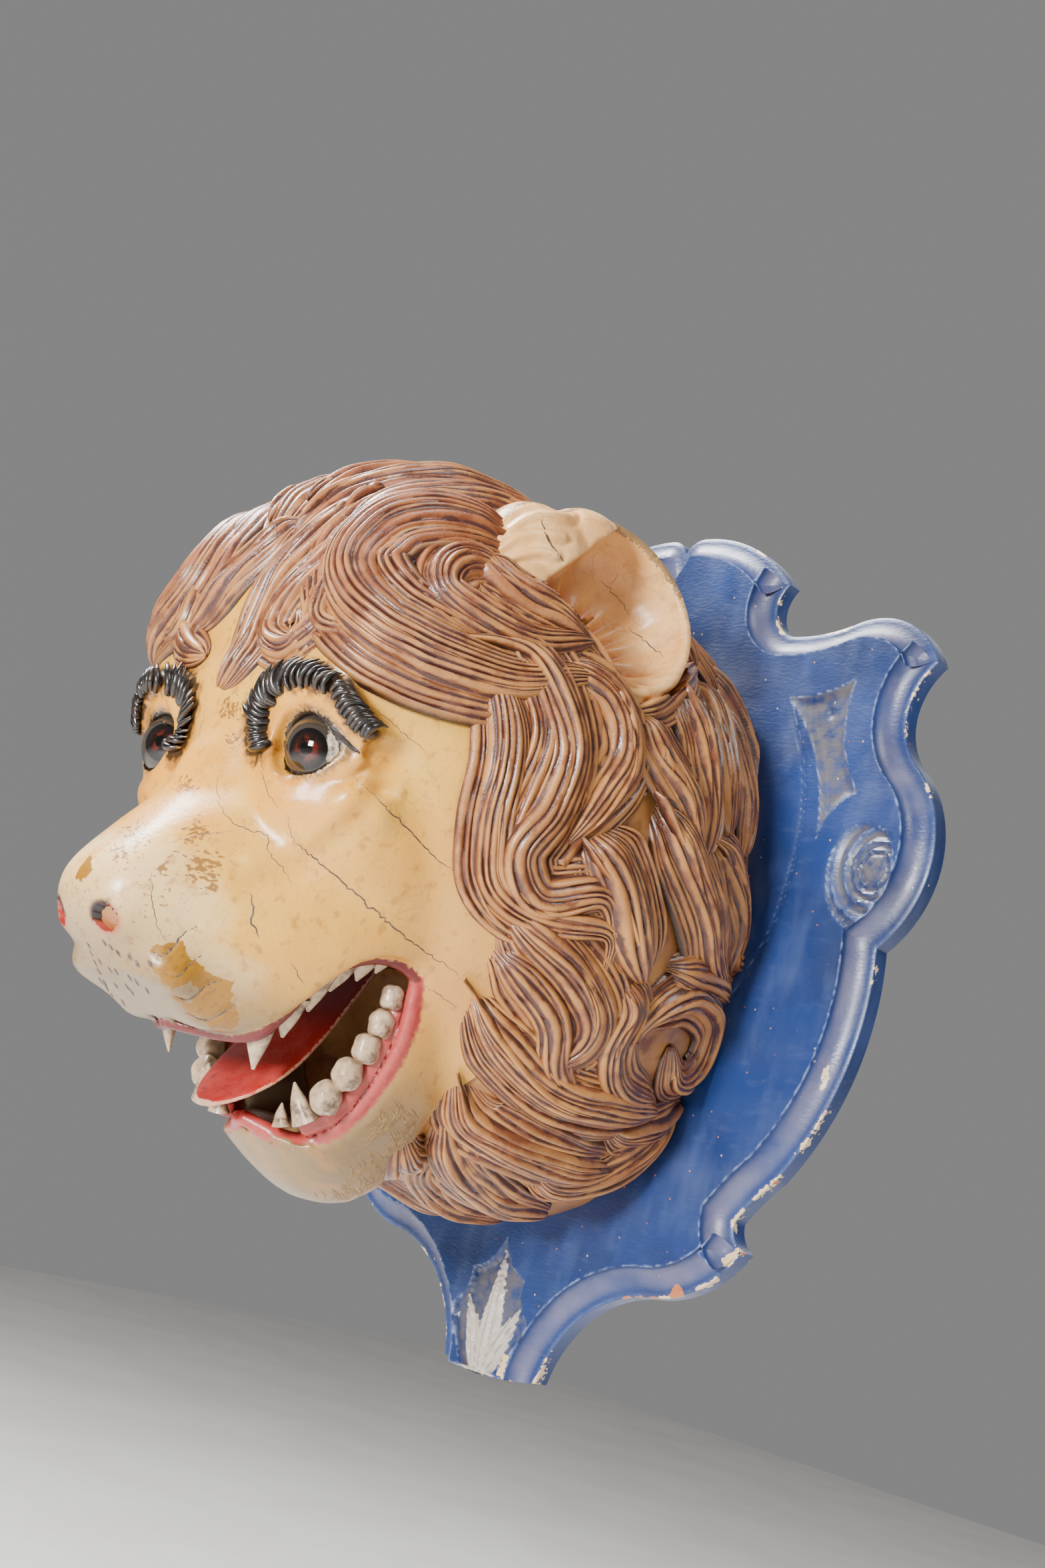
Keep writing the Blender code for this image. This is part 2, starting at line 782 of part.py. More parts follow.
def mane_line(surface, places, steps):
    """Points and normals over the mane along a curve of places given in degrees."""
    middle = head_point(*MANE_MIDDLE)
    ways = []
    for yaw, pitch in places:
        level = math.cos(math.radians(pitch))
        ways.append(Vector((
            level * math.sin(math.radians(yaw)),
            -level * math.cos(math.radians(yaw)),
            math.sin(math.radians(pitch)),
        )))
    line = []
    for way in curve_through(ways, steps):
        way.normalize()
        place, normal, _, _ = surface.ray_cast(middle + way, -way)
        line.append((place, normal))
    return line


LOCK_PROFILE = (
    (-1.0, -0.35), (-0.86, 0.36), (-0.5, 0.84), (-0.1, 1.0), (0.3, 0.94), (0.66, 0.66),
    (0.9, 0.22), (1.0, -0.35), (0.45, -0.8), (-0.45, -0.8),
)


def lock(surface, half_width, places):
    """Crowned lock of hair laid over the mane, swelling from its root and running to a tip."""
    line = mane_line(surface, places, 4)
    size = head_point(half_width * LOCK_SPREAD, 0, 0).x
    rings = []
    last = len(line) - 1
    for i, (place, normal) in enumerate(line):
        share = i / last
        along = (line[min(i + 1, last)][0] - line[max(i - 1, 0)][0]).normalized()
        across = along.cross(normal).normalized()
        width = size * min(1.0, 0.6 + 1.6 * share)
        if share > 0.6:
            width *= max(0.16, math.sqrt(max(0.0, 1 - ((share - 0.6) / 0.4) ** 2)))
        height = LOCK_HEIGHT * (0.35 * size + 0.65 * width)
        rings.append([
            place + across * u * width + normal * lift * height for u, lift in LOCK_PROFILE
        ])
    return rings_object("lock", rings)


def keep_largest(obj):
    """Remove every loose scrap but the largest piece of an object's mesh."""
    bm = bmesh.new()
    bm.from_mesh(obj.data)
    unseen = set(bm.verts)
    pieces = []
    while unseen:
        piece = set()
        edge = [unseen.pop()]
        while edge:
            vert = edge.pop()
            piece.add(vert)
            for link in vert.link_edges:
                other = link.other_vert(vert)
                if other in unseen:
                    unseen.discard(other)
                    edge.append(other)
        pieces.append(piece)
    largest = max(pieces, key=len)
    bmesh.ops.delete(bm, geom=[v for v in bm.verts if v not in largest], context="VERTS")
    bm.to_mesh(obj.data)
    bm.free()


def flatten_back(obj, depth):
    """Saw an object off at one depth off the wall, and close the sawn face."""
    bm = bmesh.new()
    bm.from_mesh(obj.data)
    geometry = list(bm.verts) + list(bm.edges) + list(bm.faces)
    bmesh.ops.bisect_plane(
        bm, geom=geometry, dist=1e-6, clear_outer=True,
        plane_co=(0, -depth, 0), plane_no=(0, 1, 0),
    )
    rim = [edge for edge in bm.edges if edge.is_boundary]
    bmesh.ops.triangle_fill(bm, use_beauty=True, edges=rim, normal=(0, 1, 0))
    bmesh.ops.recalc_face_normals(bm, faces=bm.faces)
    bm.to_mesh(obj.data)
    bm.free()


def eye_ball(name, side, clearance=0.0):
    """Round eye on one side of the head."""
    bm = bmesh.new()
    bmesh.ops.create_uvsphere(bm, u_segments=16, v_segments=8, radius=EYE_DIAMETER / 2 + clearance)
    middle = head_point(side * EYE_CENTRE[0], EYE_CENTRE[1], EYE_CENTRE[2])
    for vert in bm.verts:
        x, y, z = vert.co
        vert.co = middle + Vector((x, -z, y))
    return object_from_bmesh(name, bm)


def make_tongue(name, clearance=0.0):
    """Broad flat tongue with a rounded tip."""
    line = [head_point(0, depth, z) for depth, z in
            ((p.x, p.y) for p in curve_through([(d, z, 0) for d, z in TONGUE_LINE], 3))]
    rings = []
    last = len(line) - 1
    for i, place in enumerate(line):
        share = i / last
        along = (line[min(i + 1, last)] - line[max(i - 1, 0)]).normalized()
        up = Vector((1, 0, 0)).cross(along)
        half = TONGUE_WIDTH / 2 * (0.82 + 0.18 * share)
        if share > 0.7:
            half *= max(0.30, math.sqrt(1 - ((share - 0.7) / 0.32) ** 2))
        half += clearance
        thick = TONGUE_THICKNESS / 2 * (1.0 - 0.35 * share) + clearance
        ring = []
        for u, lift in ((-1, 0), (-0.85, 1), (0, 0.72), (0.85, 1), (1, 0), (0.85, -1), (-0.85, -1)):
            ring.append(place + Vector((1, 0, 0)) * u * half + up * lift * thick)
        rings.append(ring)
    return rings_object(name, rings)


def make_head():
    """Carved head with its mane, ears, brows, lips and teeth, flat at the back."""
    head = make_skull()
    bm = bmesh.new()
    bm.from_mesh(head.data)
    surface = BVHTree.FromBMesh(bm)
    bm.free()
    pairs = [lock(surface, width, places) for width, places in LOCKS]
    pairs += [roll(*form) for form in FACE_ROLLS]
    pairs += [tooth(*form) for form in TEETH]
    pairs += [ellipsoid("molar", place, (radius, radius, radius)) for place, radius in MOLARS]
    ear, cup = make_ear()
    cups = both_sides([cup])
    forms = both_sides(pairs + [ear])
    forms += [lock(surface, width, places) for width, places in CENTRE_LOCKS]
    head = fuse(join("lion_head", [head] + forms), CARVE_VOXEL)
    keep_largest(head)
    thin = head.modifiers.new("thin", "DECIMATE")
    thin.ratio = HEAD_FACES / sum(len(face.vertices) - 2 for face in head.data.polygons)
    settle(head)
    flatten_back(head, FIELD_THICKNESS + SEAT_GAP)
    cutters = cups + [make_tongue("tongue_slot", TONGUE_CLEARANCE)]
    for side in (1, -1):
        cutters.append(eye_ball("socket", side, SOCKET_CLEARANCE))
        place, radii, tilt = NOSTRIL
        cutters.append(ellipsoid("nostril", (side * place[0], place[1], place[2]), radii, tilt, 12))
    cut(head, cutters)
    keep_largest(head)
    return head


# Colours of the paint and the roughness and metalness that go with each
FINISHES = {
    "backboard": ("blue_paint", (0.020, 0.072, 0.270), 0.42, 0.0),
    "lion_head": ("cream_paint", (0.560, 0.370, 0.200), 0.50, 0.0),
    "tongue": ("red_paint", (0.480, 0.035, 0.030), 0.40, 0.0),
    "left_eye": ("left_eye_glass", (0.030, 0.012, 0.010), 0.08, 0.0),
    "right_eye": ("right_eye_glass", (0.030, 0.012, 0.010), 0.08, 0.0),
}


def paint(obj):
    """Give a piece its own material."""
    name, colour, roughness, metallic = FINISHES[obj.name]
    material = bpy.data.materials.new(name)
    material.use_nodes = True
    shader = material.node_tree.nodes["Principled BSDF"]
    shader.inputs["Base Color"].default_value = (*colour, 1.0)
    shader.inputs["Roughness"].default_value = roughness
    shader.inputs["Metallic"].default_value = metallic
    obj.data.materials.clear()
    obj.data.materials.append(material)


def main():
    """Build every piece."""
    for obj in list(bpy.data.objects):
        bpy.data.objects.remove(obj)
    pieces = [
        make_backboard(),
        make_head(),
        make_tongue("tongue"),
        eye_ball("left_eye", 1),
        eye_ball("right_eye", -1),
    ]
    for piece in pieces:
        paint(piece)


if __name__ == "__main__":
    main()
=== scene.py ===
"""Looks of the lion head wall mask: a carved and painted wooden head on a blue cove-edged board.

Metres, +Z up, the wall in the plane Y = 0. Carved forms are drawn in millimetres as (across,
depth off the wall, height), and place() turns them into metres. +X is the lion's left.
"""

import logging
import math
import random
from contextlib import contextmanager
from dataclasses import dataclass, field, replace
from enum import Enum
from typing import Iterator, Sequence

import bpy
import numpy as np
from mathutils import Matrix, Vector
from mathutils.bvhtree import BVHTree
from mathutils.geometry import delaunay_2d_cdt


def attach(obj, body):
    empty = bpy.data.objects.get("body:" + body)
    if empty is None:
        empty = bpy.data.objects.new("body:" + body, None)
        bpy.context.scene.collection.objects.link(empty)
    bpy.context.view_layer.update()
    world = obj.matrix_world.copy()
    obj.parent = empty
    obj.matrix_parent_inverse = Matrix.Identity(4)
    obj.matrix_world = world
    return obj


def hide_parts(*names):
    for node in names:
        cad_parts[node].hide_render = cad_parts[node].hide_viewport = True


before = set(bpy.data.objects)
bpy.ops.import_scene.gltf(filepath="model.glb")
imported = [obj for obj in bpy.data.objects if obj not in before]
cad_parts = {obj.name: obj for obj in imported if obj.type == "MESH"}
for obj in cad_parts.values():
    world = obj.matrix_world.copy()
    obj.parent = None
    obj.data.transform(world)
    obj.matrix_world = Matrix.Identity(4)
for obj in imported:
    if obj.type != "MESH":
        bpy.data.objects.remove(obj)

LOG = logging.getLogger("lion_mask")
MM = 0.001
TO_METRES = (MM, -MM, MM)
TO_DRAWN = (1000.0, -1000.0, 1000.0)
DEPTH_TURNED = (1, -1, 1)

Point = Sequence[float]
Curve = Sequence[Point]
Solid = bpy.types.Object
Socket = bpy.types.NodeSocket
Fields = dict[str, np.ndarray]

EYE: Point = (87, 404, 29)


class Slot(Enum):
    """Material slots of the record."""

    BLUE = "blue_paint"
    CREAM = "cream_paint"
    RED = "red_paint"
    LEFT_EYE = "left_eye_glass"
    RIGHT_EYE = "right_eye_glass"


class Side(Enum):
    """Sides of the head, with the sign of X on each."""

    LEFT = 1
    RIGHT = -1


# ---------------------------------------------------------------- drawing and mesh helpers

def place(point: Point) -> Vector:
    """Place in metres of a point drawn as (across, depth, height) in millimetres."""
    return Vector((point[0], -point[1], point[2])) * MM


def as_drawn(point: Point) -> np.ndarray:
    """Drawn place, in millimetres, of a point in metres."""
    return np.array(point) * TO_DRAWN


def drawn(obj: Solid) -> np.ndarray:
    """A mesh's corners as drawn: across, depth and height in millimetres."""
    corners = np.empty(len(obj.data.vertices) * 3, np.float64)
    obj.data.vertices.foreach_get("co", corners)
    return corners.reshape(-1, 3) * TO_DRAWN


def redraw(obj: Solid, corners: np.ndarray) -> None:
    """Move a mesh's corners to drawn places."""
    obj.data.vertices.foreach_set("co", (corners * TO_METRES).ravel())
    obj.data.update()


def normals(obj: Solid) -> np.ndarray:
    """Outward directions of a mesh's corners, in metres' axes."""
    rows = np.empty(len(obj.data.vertices) * 3, np.float32)
    obj.data.vertex_normals.foreach_get("vector", rows)
    return rows.reshape(-1, 3).astype(np.float64)


def keep(obj: Solid, **fields: np.ndarray | float) -> None:
    """Keep numbers per corner on a mesh, by name, for its material to read."""
    for name, values in fields.items():
        layer = obj.data.attributes.new(name, "FLOAT", "POINT")
        layer.data.foreach_set("value", np.full(len(obj.data.vertices), values, np.float32))


def activate(obj: Solid) -> None:
    """Make an object the only selected one."""
    bpy.ops.object.select_all(action="DESELECT")
    obj.select_set(True)
    bpy.context.view_layer.objects.active = obj


@contextmanager
def editing(obj: Solid) -> Iterator[None]:
    """Edit an object's mesh with all of it selected."""
    activate(obj)
    bpy.ops.object.mode_set(mode="EDIT")
    bpy.ops.mesh.select_all(action="SELECT")
    yield
    bpy.ops.object.mode_set(mode="OBJECT")


def modify(obj: Solid, kind: str, **settings: object) -> Solid:
    """Add a modifier, set it and apply it.

    Args:
        obj: The piece.
        kind: Blender's name of the modifier.
        settings: Its properties.

    Returns:
        The same piece.
    """
    activate(obj)
    modifier = obj.modifiers.new(kind.lower(), kind)
    for name, value in settings.items():
        setattr(modifier, name, value)
    bpy.ops.object.modifier_apply(modifier=modifier.name)
    return obj


def add_object(name: str, data: bpy.types.ID) -> Solid:
    """Object of the scene that holds a mesh, a camera or a lamp."""
    obj = bpy.data.objects.new(name, data)
    bpy.context.scene.collection.objects.link(obj)
    return obj


def from_faces(name: str, corners: Sequence[Point], faces: Sequence[Sequence[int]]) -> Solid:
    """Object with the given corners, in metres, and faces."""
    mesh = bpy.data.meshes.new(name)
    mesh.from_pydata([tuple(corner) for corner in corners], [], faces)
    mesh.update()
    return add_object(name, mesh)


def face_outward(obj: Solid) -> Solid:
    """Turn every face of a closed piece outward."""
    with editing(obj):
        bpy.ops.mesh.normals_make_consistent(inside=False)
    return obj


def loft(name: str, rings: Sequence[Sequence[Point]]) -> Solid:
    """Closed skin over rings of points in metres; carved forms have no primitive to start from."""
    count = len(rings[0])
    corners = [point for ring in rings for point in ring]
    faces: list[Sequence[int]] = [tuple(range(count))]
    for row in range(len(rings) - 1):
        base = row * count
        for i in range(count):
            j = (i + 1) % count
            faces.append((base + j, base + i, base + count + i, base + count + j))
    faces.append(tuple(reversed(range(len(corners) - count, len(corners)))))
    return face_outward(from_faces(name, corners, faces))


def ball(name: str, centre: Point, radii: Point, tilt: float = 0.0, sides: int = 32) -> Solid:
    """Drawn ball stretched to radii across, in depth and in height, and tipped by tilt degrees."""
    bpy.ops.mesh.primitive_uv_sphere_add(
        segments=sides, ring_count=sides // 2, radius=MM, location=place(centre),
        rotation=(math.radians(tilt), 0, 0), scale=radii,
    )
    obj = bpy.context.active_object
    obj.name = name
    bpy.ops.object.transform_apply(location=True, rotation=True, scale=True)
    return obj


def duplicate(obj: Solid) -> Solid:
    """Copy of a piece with a mesh of its own."""
    copy = obj.copy()
    copy.data = obj.data.copy()
    bpy.context.scene.collection.objects.link(copy)
    return copy


def mirrored(objects: Sequence[Solid]) -> list[Solid]:
    """Copies of pieces of the left side on the right side."""
    copies = [duplicate(obj) for obj in objects]
    for copy in copies:
        copy.data.transform(Matrix.Scale(-1, 4, (1, 0, 0)))
        copy.data.flip_normals()
    return copies


def merged(name: str, objects: Sequence[Solid]) -> Solid:
    """All the given objects joined as one."""
    activate(objects[0])
    for obj in objects:
        obj.select_set(True)
    bpy.ops.object.join()
    objects[0].name = name
    return objects[0]


def cut(obj: Solid, cutters: Sequence[Solid], operation: str = "DIFFERENCE") -> Solid:
    """Cut solids out of a piece, or join them to it, and remove them."""
    for cutter in cutters:
        modify(obj, "BOOLEAN", object=cutter, operation=operation, solver="EXACT")
        bpy.data.objects.remove(cutter)
    return obj


def smooth_line(points: Curve, steps: int) -> np.ndarray:
    """Points of a smooth curve that runs through the given ones, with steps to each span."""
    rows = np.asarray(points, float)
    rows = np.vstack((2 * rows[0] - rows[1], rows, 2 * rows[-1] - rows[-2]))
    line = []
    for a, b, c, d in zip(rows, rows[1:], rows[2:], rows[3:]):
        for t in np.arange(steps) / steps:
            line.append(0.5 * (
                2 * b + (c - a) * t + (2 * a - 5 * b + 4 * c - d) * t ** 2
                + (3 * b - a - 3 * c + d) * t ** 3
            ))
    line.append(rows[-2])
    return np.array(line)


def run_along(line: np.ndarray) -> np.ndarray:
    """Length of a line of points up to each of them."""
    return np.concatenate(([0.0], np.cumsum(np.linalg.norm(np.diff(line, axis=0), axis=1))))


def spaced(rows: np.ndarray, run: np.ndarray, count: int) -> np.ndarray:
    """Rows read at a number of even steps of a run."""
    at = np.linspace(0.0, run[-1], count)
    return np.column_stack([np.interp(at, run, column) for column in rows.T])


def even_line(points: Curve, spacing: float) -> np.ndarray:
    """Smooth curve through points, walked in even steps of about the given length."""
    line = smooth_line(points, 12)
    run = run_along(line)
    return spaced(line, run, max(3, round(run[-1] / spacing) + 1))


def relaxed(rows: np.ndarray, times: int) -> np.ndarray:
    """Rows evened out with their neighbours a number of times, the two ends left alone."""
    for _ in range(times):
        rows[1:-1] = 0.5 * rows[1:-1] + 0.25 * (rows[:-2] + rows[2:])
    return rows


def unit(rows: np.ndarray) -> np.ndarray:
    """Rows scaled to a length of one."""
    return rows / np.maximum(np.linalg.norm(rows, axis=1), 1e-9)[:, None]


def headings(line: np.ndarray) -> np.ndarray:
    """The way a line runs at each of its points."""
    return unit(np.gradient(line, axis=0))


def bearing(azimuth: float, elevation: float) -> np.ndarray:
    """Direction at an azimuth from straight ahead of the mask, and at an elevation, in degrees."""
    turn, rise = math.radians(azimuth), math.radians(elevation)
    level = math.cos(rise)
    return np.array((level * math.sin(turn), -level * math.cos(turn), math.sin(rise)))


def distance_to_line(points: np.ndarray, line: np.ndarray) -> np.ndarray:
    """Distance of each point to a line of points, in two or three dimensions."""
    best = np.full(len(points), np.inf)
    for start, end in zip(line[:-1], line[1:]):
        span = end - start
        share = np.clip(((points - start) @ span) / max(span @ span, 1e-12), 0.0, 1.0)
        best = np.minimum(best, np.linalg.norm(points - start - share[:, None] * span, axis=1))
    return best


def inside_outline(points: np.ndarray, outline: np.ndarray) -> np.ndarray:
    """Whether each flat point lies inside a closed outline."""
    inside = np.zeros(len(points), bool)
    x, y = points[:, 0], points[:, 1]
    for (ax, ay), (bx, by) in zip(outline, np.roll(outline, -1, axis=0)):
        crosses = (ay > y) != (by > y)
        with np.errstate(divide="ignore", invalid="ignore"):
            inside ^= crosses & (x < (bx - ax) * (y - ay) / (by - ay) + ax)
    return inside


def depth_inside(points: np.ndarray, outline: Curve) -> np.ndarray:
    """How far each flat point lies inside a closed outline, and below zero outside it."""
    rows = np.array(outline, float)
    away = distance_to_line(points, np.vstack((rows, rows[:1])))
    return np.where(inside_outline(points, rows), away, -away)


def half_head(corners: np.ndarray) -> np.ndarray:
    """Drawn points with those of the right side folded over to the left."""
    return corners * (0, 1, 1) + np.abs(corners) * (1, 0, 0)


def ramp(values: np.ndarray, low: float, high: float) -> np.ndarray:
    """Smooth rise from 0 at low to 1 at high."""
    share = np.clip((values - low) / (high - low), 0.0, 1.0)
    return share * share * (3 - 2 * share)


def hump(values: np.ndarray, width: float) -> np.ndarray:
    """Bell that is 1 where a value is 0 and about a third at a width on either side."""
    return np.exp(-(values / width) ** 2)


def crest(gap: np.ndarray, height: float, width: float) -> np.ndarray:
    """Height of a rounded crest, or of a groove if below zero, at a gap from its middle."""
    return height * hump(gap, width)


def nearness(gap: np.ndarray, width: float | np.ndarray) -> np.ndarray:
    """1 where a gap is 0, a half at a width and 0 at twice that."""
    return np.clip(1 - 0.5 * gap / width, 0, 1)


def rounded_end(share: np.ndarray, start: float, length: float, least: float) -> np.ndarray:
    """Width along a strip, as a share: 1 up to start, then rounded off over a length."""
    over = np.maximum(0.0, (share - start) / length)
    return np.maximum(least, np.sqrt(np.maximum(0.0, 1 - over ** 2)))


def raised(corners: np.ndarray, outward: np.ndarray, height: np.ndarray) -> np.ndarray:
    """Corners moved outward by a height each."""
    return corners + outward * height[:, None]


# ---------------------------------------------------------------- camera

@dataclass(frozen=True)
class PhotoCamera:
    """The viewpoint of the photograph, which also tells where a mark seen in it lies."""

    position: Point = (1.1393, -1.1951, -0.2356)
    azimuth: float = 47.08
    elevation: float = -11.93
    roll: float = 14.32
    focal_px: float = 2949.2
    width_px: int = 1568
    height_px: int = 2352
    sensor_mm: float = 36.0

    def axes(self) -> tuple[np.ndarray, np.ndarray, np.ndarray]:
        """The camera's right, up and forward directions."""
        forward = -bearing(self.azimuth, self.elevation)
        roll = math.radians(self.roll)
        level = np.cross(forward, (0, 0, 1))
        level /= np.linalg.norm(level)
        right = level * math.cos(roll) + np.cross(level, forward) * math.sin(roll)
        return right, np.cross(right, forward), forward

    def ray(self, pixel: Point) -> tuple[Vector, Vector]:
        """Start and direction of the sight line through a pixel of the photograph."""
        right, up, forward = self.axes()
        across = (pixel[0] - self.width_px / 2) / self.focal_px
        down = (pixel[1] - self.height_px / 2) / self.focal_px
        way = forward + right * across - up * down
        return Vector(self.position), Vector(way).normalized()

    def project(self, points: np.ndarray) -> np.ndarray:
        """Pixels of the photograph at which points, in metres, are seen."""
        right, up, forward = self.axes()
        away = points - np.array(self.position)
        reach = away @ forward
        return np.column_stack((
            self.width_px / 2 + self.focal_px * (away @ right) / reach,
            self.height_px / 2 - self.focal_px * (away @ up) / reach,
        ))

    def build(self) -> Solid:
        """Create the camera and make it the scene's own."""
        data = bpy.data.cameras.new("photo_camera")
        data.sensor_fit = "VERTICAL"
        data.sensor_height = self.sensor_mm
        data.lens = self.focal_px * self.sensor_mm / self.height_px
        camera = add_object("photo_camera", data)
        right, up, forward = self.axes()
        turn = Matrix((right, up, -forward)).transposed().to_4x4()
        camera.matrix_world = Matrix.Translation(self.position) @ turn
        bpy.context.scene.camera = camera
        return camera


# ---------------------------------------------------------------- colour and nodes

def linear(code: str) -> tuple[float, float, float, float]:
    """Linear colour of an sRGB hex code."""
    shares = [int(code[i:i + 2], 16) / 255 for i in (1, 3, 5)]
    return (*[v / 12.92 if v <= 0.04045 else ((v + 0.055) / 1.055) ** 2.4 for v in shares], 1.0)


def add_node(
    tree: bpy.types.NodeTree, kind: str, inputs: dict | None = None, **settings: object,
) -> bpy.types.Node:
    """Add a node with its properties, its inputs filled by a value or linked to an output.

    Args:
        tree: Where the node goes.
        kind: The node's type.
        inputs: Value or output socket of each input, by name or number.
        settings: The node's properties.

    Returns:
        The node.
    """
    node = tree.nodes.new(kind)
    for name, value in settings.items():
        setattr(node, name, value)
    for name, value in (inputs or {}).items():
        if isinstance(value, Socket):
            tree.links.new(value, node.inputs[name])
        else:
            node.inputs[name].default_value = value
    return node


@dataclass(frozen=True)
class Pattern:
    """A pattern of one real size, read as a mask between two of its values."""

    size: float
    low: float
    high: float
    kind: str = "ShaderNodeTexNoise"
    detail: float = 4.0
    stretch: Point = (1, 1, 1)
    output: str = ""

    def mask(self, tree: bpy.types.NodeTree, coords: Socket) -> Socket:
        """The pattern as a mask from 0 to 1.

        Args:
            tree: Where its nodes go.
            coords: The place on the piece, in metres.

        Returns:
            The mask.
        """
        fitted = add_node(tree, "ShaderNodeMapping", {"Vector": coords, "Scale": self.stretch})
        source = add_node(tree, self.kind, {
            "Vector": fitted.outputs[0], "Scale": 1 / (self.size * MM), "Detail": self.detail})
        if self.kind == "ShaderNodeTexVoronoi" and self.output == "edge":
            source.feature = "DISTANCE_TO_EDGE"
        value = source.outputs["Distance" if self.kind == "ShaderNodeTexVoronoi" else 0]
        soft = add_node(tree, "ShaderNodeMapRange", {
            "Value": value, "From Min": self.low, "From Max": self.high})
        return soft.outputs["Result"]


class Palette:
    """Layers of paint on one material, laid one over the other."""

    def __init__(self, name: str, ground: str) -> None:
        """Start a material with its ground colour."""
        self.material = bpy.data.materials.new(name)
        self.material.use_nodes = True
        self.tree = self.material.node_tree
        self.shader = self.tree.nodes["Principled BSDF"]
        self.coords = add_node(self.tree, "ShaderNodeTexCoord").outputs["Object"]
        self.colour: object = linear(ground)

    def field(self, name: str, low: float = 0.0, high: float = 1.0) -> Socket:
        """A number kept on the piece's corners, as a mask that rises between two values."""
        kept = add_node(self.tree, "ShaderNodeAttribute", attribute_name=name)
        soft = add_node(self.tree, "ShaderNodeMapRange", {
            "Value": kept.outputs["Fac"], "From Min": low, "From Max": high},
            interpolation_type="SMOOTHSTEP")
        return soft.outputs["Result"]

    def ragged(self, name: str, low: float, high: float, size: float,
               reach: float) -> Socket:
        """A kept number as a mask whose edge is broken up by a pattern.

        Args:
            name: The number's name.
            low: Where the mask starts.
            high: Where it is full.
            size: Size of the pattern in millimetres.
            reach: How far the pattern moves the edge.

        Returns:
            The mask.
        """
        kept = add_node(self.tree, "ShaderNodeAttribute", attribute_name=name)
        rough = self.pattern(size, 0.3, 0.7)
        moved = add_node(self.tree, "ShaderNodeMath", {0: rough, 1: reach, 2: kept.outputs["Fac"]},
                         operation="MULTIPLY_ADD")
        soft = add_node(self.tree, "ShaderNodeMapRange", {
            "Value": moved.outputs[0], "From Min": low + reach / 2, "From Max": high + reach / 2})
        return soft.outputs["Result"]

    def pattern(self, size: float, low: float, high: float, **settings: object) -> Socket:
        """A pattern of a size in millimetres, as a mask on this material."""
        return Pattern(size, low, high, **settings).mask(self.tree, self.coords)

    def both(self, first: Socket, second: object) -> Socket:
        """A mask that is full where both masks are, kept from 0 to 1."""
        product = add_node(self.tree, "ShaderNodeMath", {0: first, 1: second},
                           operation="MULTIPLY", use_clamp=True)
        return product.outputs[0]

    def coat(self, code: str, cover: Socket, strength: float = 1.0) -> None:
        """Lay a colour over the others where its cover is full.

        Args:
            code: The colour, as sRGB hex.
            cover: Mask of where it goes.
            strength: How much it hides what is under it.
        """
        share = cover if strength == 1.0 else self.both(cover, strength)
        mix = add_node(self.tree, "ShaderNodeMix", {0: share, 6: self.colour, 7: linear(code)},
                       data_type="RGBA")
        self.colour = mix.outputs[2]

    def varnish(self, weight: float, roughness: float) -> None:
        """Lay a clear coat over the paint."""
        self.shader.inputs["Coat Weight"].default_value = weight
        self.shader.inputs["Coat Roughness"].default_value = roughness

    def finish(self, relief: Socket | None = None, height: float = 0.3,
               gloss: Socket | None = None, smoothest: float = 0.3,
               roughest: float = 0.5) -> bpy.types.Material:
        """Put the colour, the surface's relief and its gloss on the shader.

        Args:
            relief: Height of the surface, from 0 to 1.
            height: What that height is in millimetres.
            gloss: Mask of where the surface is roughest.
            smoothest: Roughness where the mask is 0.
            roughest: Roughness where it is 1.

        Returns:
            The material.
        """
        self.tree.links.new(self.colour, self.shader.inputs["Base Color"])
        if relief is not None:
            bump = add_node(self.tree, "ShaderNodeBump", {
                "Height": relief, "Distance": height * MM, "Strength": 1.0})
            self.tree.links.new(bump.outputs[0], self.shader.inputs["Normal"])
        if gloss is not None:
            soft = add_node(self.tree, "ShaderNodeMapRange", {
                "Value": gloss, "To Min": smoothest, "To Max": roughest})
            self.tree.links.new(soft.outputs[0], self.shader.inputs["Roughness"])
        else:
            self.shader.inputs["Roughness"].default_value = smoothest
        return self.material


# ---------------------------------------------------------------- finishes

